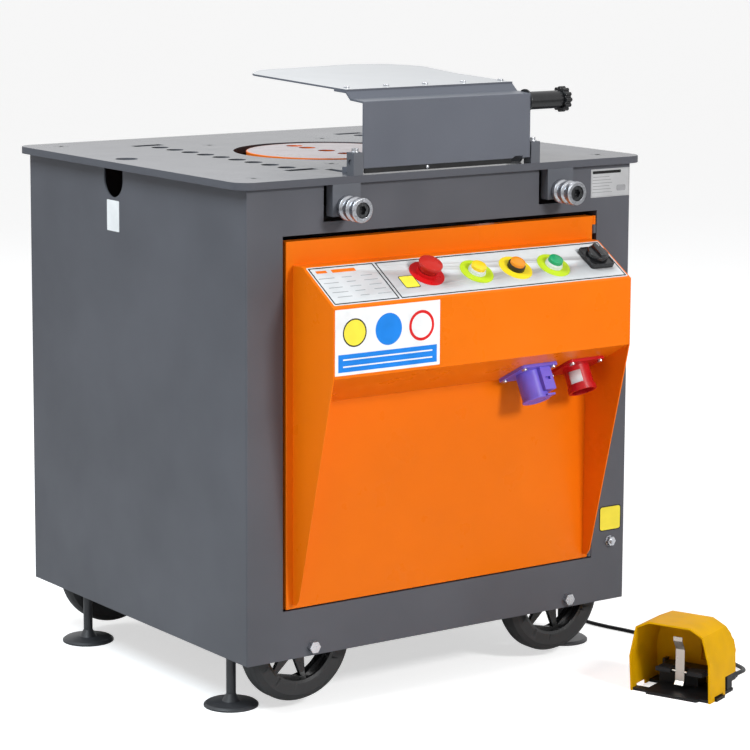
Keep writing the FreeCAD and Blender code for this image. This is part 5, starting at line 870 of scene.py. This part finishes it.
dial_profile = ([(0, -0.026), (0.004, -0.026), (0.004, 0.0083), (0.0186, 0.0083), (0.019, 0.0088)]
                + list(quarter((0.0172, 0.0148), (0.0014, 0.0022), 0, 90, 5)) + [(0, 0.0172)])
dial = turned("switch_dial", dial_profile, black_gloss, control("rotary"))
grip = blank("switch_grip", 0.0125, 0.0355, 0.0072, 0.0045)
stretch(0.74, 0.94)
end(grip, at(control("rotary"), z=0.0148))
dress(grip, black_gloss)
rounded(grip, 0.0012, 3)
knob = joined("switch_dial", [dial, grip])
stands_for(knob, "switch_knob")
told(rim, knob)

# %% [markdown]
# ## Labels
#
# The real machine carries printed plates. These have the same places, sizes and colours but say
# nothing. A label is a very thin plate. A ruled frame on it is a plane whose inner face is made
# with an inset and deleted, so only a ring is left to extrude. Bars and spots are thin plates of
# their own, and everything is joined to the label.

# %% Kit for labels
FOIL, PRINT = 0.0004, 0.00015


def ruled(place, x, y, width, height, line, finish):
    """A rectangular frame of thin lines on a label."""
    piece = begin("rule", "plane", size=1)
    stretch(width, height)
    bpy.ops.mesh.inset(thickness=line)
    bpy.ops.mesh.delete(type="FACE")
    bpy.ops.mesh.select_all(action="SELECT")
    lift(PRINT)
    end(piece, at(place, x, y, FOIL))
    dress(piece, finish)
    return piece


def mark(place, x, y, width, height, finish, corner=0.0003):
    """A printed bar on a label."""
    return plate("mark", width, height, PRINT, corner, finish, at(place, x, y, FOIL))


def spot(place, x, y, radius, finish, rim=None, rim_width=0.0):
    """A printed disc, with a rim of another finish where one is given."""
    outline = [(0, 0), (radius, 0), (radius, PRINT), (0, PRINT)]
    if not rim:
        return turned("spot", outline, finish, at(place, x, y, FOIL))
    outline.insert(3, (radius - rim_width, PRINT))
    piece = turned("spot", outline, [finish, rim], Matrix())
    paint_where(piece, 1, lambda c, n: math.hypot(c.x, c.y) > radius - rim_width)
    piece.matrix_world = at(place, x, y, FOIL)
    only(piece)
    bpy.ops.object.transform_apply(location=True, rotation=True, scale=True)
    return piece


print("label kit ready, film", FOIL * 1000, "mm thick")

# %% [markdown]
# The slope's label runs under all the controls. Their barrels pass through it, so it gets round
# holes: one cylinder for each control, joined, is taken away by a Boolean modifier.

# %% The slope's label
LABEL_LEFT, LABEL_RIGHT, LABEL_HIGH, DIVIDER = -0.298, 0.296, 0.094, -0.170
BORE = 0.0115
middle = (LABEL_LEFT + LABEL_RIGHT) / 2
slope_place = at(SLOPE, middle, -0.050)
label = plate("slope_label", LABEL_RIGHT - LABEL_LEFT, LABEL_HIGH, FOIL, 0.002, print_pale,
              slope_place)
drills = []
for name in CONTROLS:
    drill = begin("drill", "cylinder", radius=BORE, depth=0.01, vertices=48)
    drills.append(end(drill, control(name)))
drill = joined("drill", drills)
apply(label, "BOOLEAN", object=drill, operation="DIFFERENCE", solver="EXACT")
bpy.data.objects.remove(drill)

field = at(slope_place, (LABEL_LEFT + DIVIDER) / 2 - middle)
over_print = at(slope_place, z=PRINT)
RULE, MARGIN = 0.0023, 0.0022
PATCH_X, PATCH_Y = -0.131 - middle, -0.008
marks = [ruled(slope_place, (left + right) / 2 - middle, 0, right - left - 2 * MARGIN,
               LABEL_HIGH - 2 * MARGIN, RULE, print_black)
         for left, right in ((LABEL_LEFT, DIVIDER), (DIVIDER, LABEL_RIGHT))]
marks += [mark(field, 0.000, 0.034, 0.045, 0.0075, print_orange),
          mark(field, -0.042, 0.034, 0.020, 0.0060, print_orange),
          mark(slope_place, PATCH_X, PATCH_Y, 0.030, 0.030, print_black, 0.004),
          mark(over_print, PATCH_X, PATCH_Y, 0.027, 0.027, print_yellow, 0.003)]
for row in range(5):
    for column, width in enumerate((0.030, 0.021, 0.026)):
        marks.append(mark(field, 0.038 * (column - 1) + 0.002 * row - 0.003, 0.018 - 0.0115 * row,
                          width - 0.002 * ((row + column) % 3), 0.0013, print_grey))
label = joined("slope_label", [label] + marks)
rides(label, "door")
told(label)

# %% [markdown]
# The label on the console's front has three round spots over a wide bar. The red ring on white
# is one turned disc whose outer faces get the second finish.

# %% The label on the console's front
front_place = wall((-0.199, -0.463, -0.246))
over_print = at(front_place, z=PRINT)
label = plate("front_label", 0.202, 0.104, FOIL, 0.001, print_white, front_place)
marks = [mark(front_place, 0, -0.033, 0.190, 0.028, print_blue),
         mark(over_print, 0, -0.0275, 0.172, 0.0022, print_white),
         mark(over_print, 0, -0.0385, 0.172, 0.0022, print_white),
         spot(front_place, -0.064, 0.014, 0.0225, print_yellow, print_black, 0.0022),
         spot(front_place, 0.001, 0.014, 0.0255, print_blue),
         spot(front_place, 0.065, 0.014, 0.0245, print_white, print_red, 0.0048)]
label = joined("front_label", [label] + marks)
rides(label, "door")
told(label)

# %% [markdown]
# Three more plates sit on the cabinet: a silver one with small rows at the top right, a yellow
# patch with a dark rim above the earthing bolt, and a white one under the left lifting slot.

# %% The silver plate, the yellow patch and the white plate on the side
plate_place = wall((0.3455, -0.350, -0.044))
silver = plate("silver_plate", 0.085, 0.048, FOIL, 0.001, silver_foil, plate_place)
marks = [ruled(plate_place, 0, 0, 0.0826, 0.0456, 0.0004, print_grey),
         mark(plate_place, -0.008, 0.0185, 0.062, 0.0050, print_black)]
for row in range(6):
    marks.append(mark(plate_place, -0.020 + 0.001 * (row % 3), 0.0105 - 0.0052 * row,
                      0.036 + 0.004 * (row % 3), 0.0009, print_grey))
marks.append(mark(plate_place, 0.024, -0.010, 0.020, 0.010, print_grey, 0.003))
silver = joined("silver_plate", [silver] + marks)
rides(silver, "machine")

patch_place = wall((0.358, -0.350, -0.630))
patch = plate("yellow_patch", 0.048, 0.044, FOIL, 0.006, print_black, patch_place)
patch = joined("yellow_patch", [patch, mark(patch_place, 0, 0, 0.0446, 0.0406, print_yellow, 0.0045)])
rides(patch, "machine")

side_place = wall((-0.390, 0.061, -0.094), -90)
side = plate("side_plate", 0.040, 0.052, FOIL, 0.0015, print_white, side_place)
rides(side, "machine")
told(silver, patch, side)

# %% [markdown]
# ## Pedal
#
# The hood is moulded in yellow plastic with thick round edges. Base and treadle are black, and
# the latch is a bent metal strip.

# %% Pedal
hood = soft_copy("pedal_hood", hood_yellow, 0.0014, 3)
base = soft_copy("pedal_base", black_mould, 0.0006)
treadle = soft_copy("pedal_treadle", black_mould, 0.0006)
told(hood, base, treadle)

# %% [markdown]
# The latch is a bent strip on a pin. Its outline is a chain of extruded points, the chain is
# extruded sideways, and the Solidify modifier gives the strip its thickness.

# %% The latch
PEDAL = Matrix.Translation((0.2722, -0.611, FLOOR)) @ Matrix.Rotation(math.radians(-68.2), 4, "Z")
STRIP_WIDE, HINGE = 0.0165, Vector((0, 0.037, 0.035))
bends = [(0.031, 0.013), (0.036, 0.019), (0.036, 0.074), (0.026, 0.090), (0.026, 0.097)]
latch = chain("latch_strip", [(-STRIP_WIDE / 2, *bend) for bend in bends])
bpy.ops.mesh.extrude_edges_move(TRANSFORM_OT_translate={"value": (STRIP_WIDE, 0, 0)})
end(latch, PEDAL)
apply(latch, "SOLIDIFY", thickness=0.0018, offset=0)
dress(latch, latch_steel)
rounded(latch, 0.0004)
PIN_RADIUS, PIN_END = 0.002, 0.021
pin_outline = [(0, -PIN_END), (PIN_RADIUS, -PIN_END), (PIN_RADIUS, PIN_END), (0, PIN_END)]
pin_place = PEDAL @ Matrix.Translation(HINGE) @ Matrix.Rotation(math.pi / 2, 4, "Y")
pin = turned("latch_pin", pin_outline, latch_steel, pin_place, steps=20)
latch = joined("latch_strip", [latch, pin])
stands_for(latch, "pedal_latch")
told(latch)

# %% [markdown]
# ## The pedal's cable
#
# A cable is a length of something flexible. A NURBS curve through listed control points bends
# as evenly as a real one: out of the cabinet's gland, down to the floor, along it and round into
# the pedal's gland. A round bevel gives the curve its thickness.

# %% Cable
route = [(0.418, -0.060, -0.735), (0.440, -0.060, -0.7355), (0.4625, -0.0605, -0.7485),
         (0.4775, -0.062, -0.7745), (0.4785, -0.066, -0.808), (0.474, -0.082, -0.839),
         (0.467, -0.110, -0.859), (0.459, -0.144, -0.8683), (0.4505, -0.178, -0.8683),
         (0.461, -0.230, -0.8683), (0.4756, -0.276, -0.8683), (0.4883, -0.3558, -0.8683),
         (0.4925, -0.4357, -0.8683), (0.4901, -0.5057, -0.8683), (0.4797, -0.5546, -0.8665),
         (0.4597, -0.5892, -0.861), (0.4321, -0.6123, -0.854), (0.40608, -0.62257, -0.852)]
line = bpy.data.curves.new("pedal_cable_run", "CURVE")
line.dimensions = "3D"
line.bevel_depth = 0.0035
line.bevel_resolution = 5
line.resolution_u = 8
run = line.splines.new("NURBS")
run.points.add(len(route) - 1)
for point, place in zip(run.points, route):
    point.co = (*place, 1)
run.order_u = 3
run.use_endpoint_u = True
cable = bpy.data.objects.new("pedal_cable_run", line)
bpy.context.scene.collection.objects.link(cable)
line.materials.append(sheath.material)
stands_for(cable, "pedal_cable")
print("cable drawn through", len(route), "points")

# %% [markdown]
# ## Floor and closing
#
# The floor is pale paper. It glows for the camera only, so it looks white and adds no light to
# the machine.

# %% Floor's finish and closing
floor_finish = Finish("studio_paper", (0.80, 0.80, 0.80), 0.9)
floor_finish.bump(floor_finish.noise(300, 2), 0.0002, 0.2)
looked_at = floor_finish.node("LightPath")
floor_finish.shader.inputs["Emission Color"].default_value = (1, 1, 1, 1)
floor_finish.link(floor_finish.maths("MULTIPLY", looked_at.outputs["Is Camera Ray"], 0.60),
                  floor_finish.shader.inputs["Emission Strength"])
dress(floor, floor_finish)
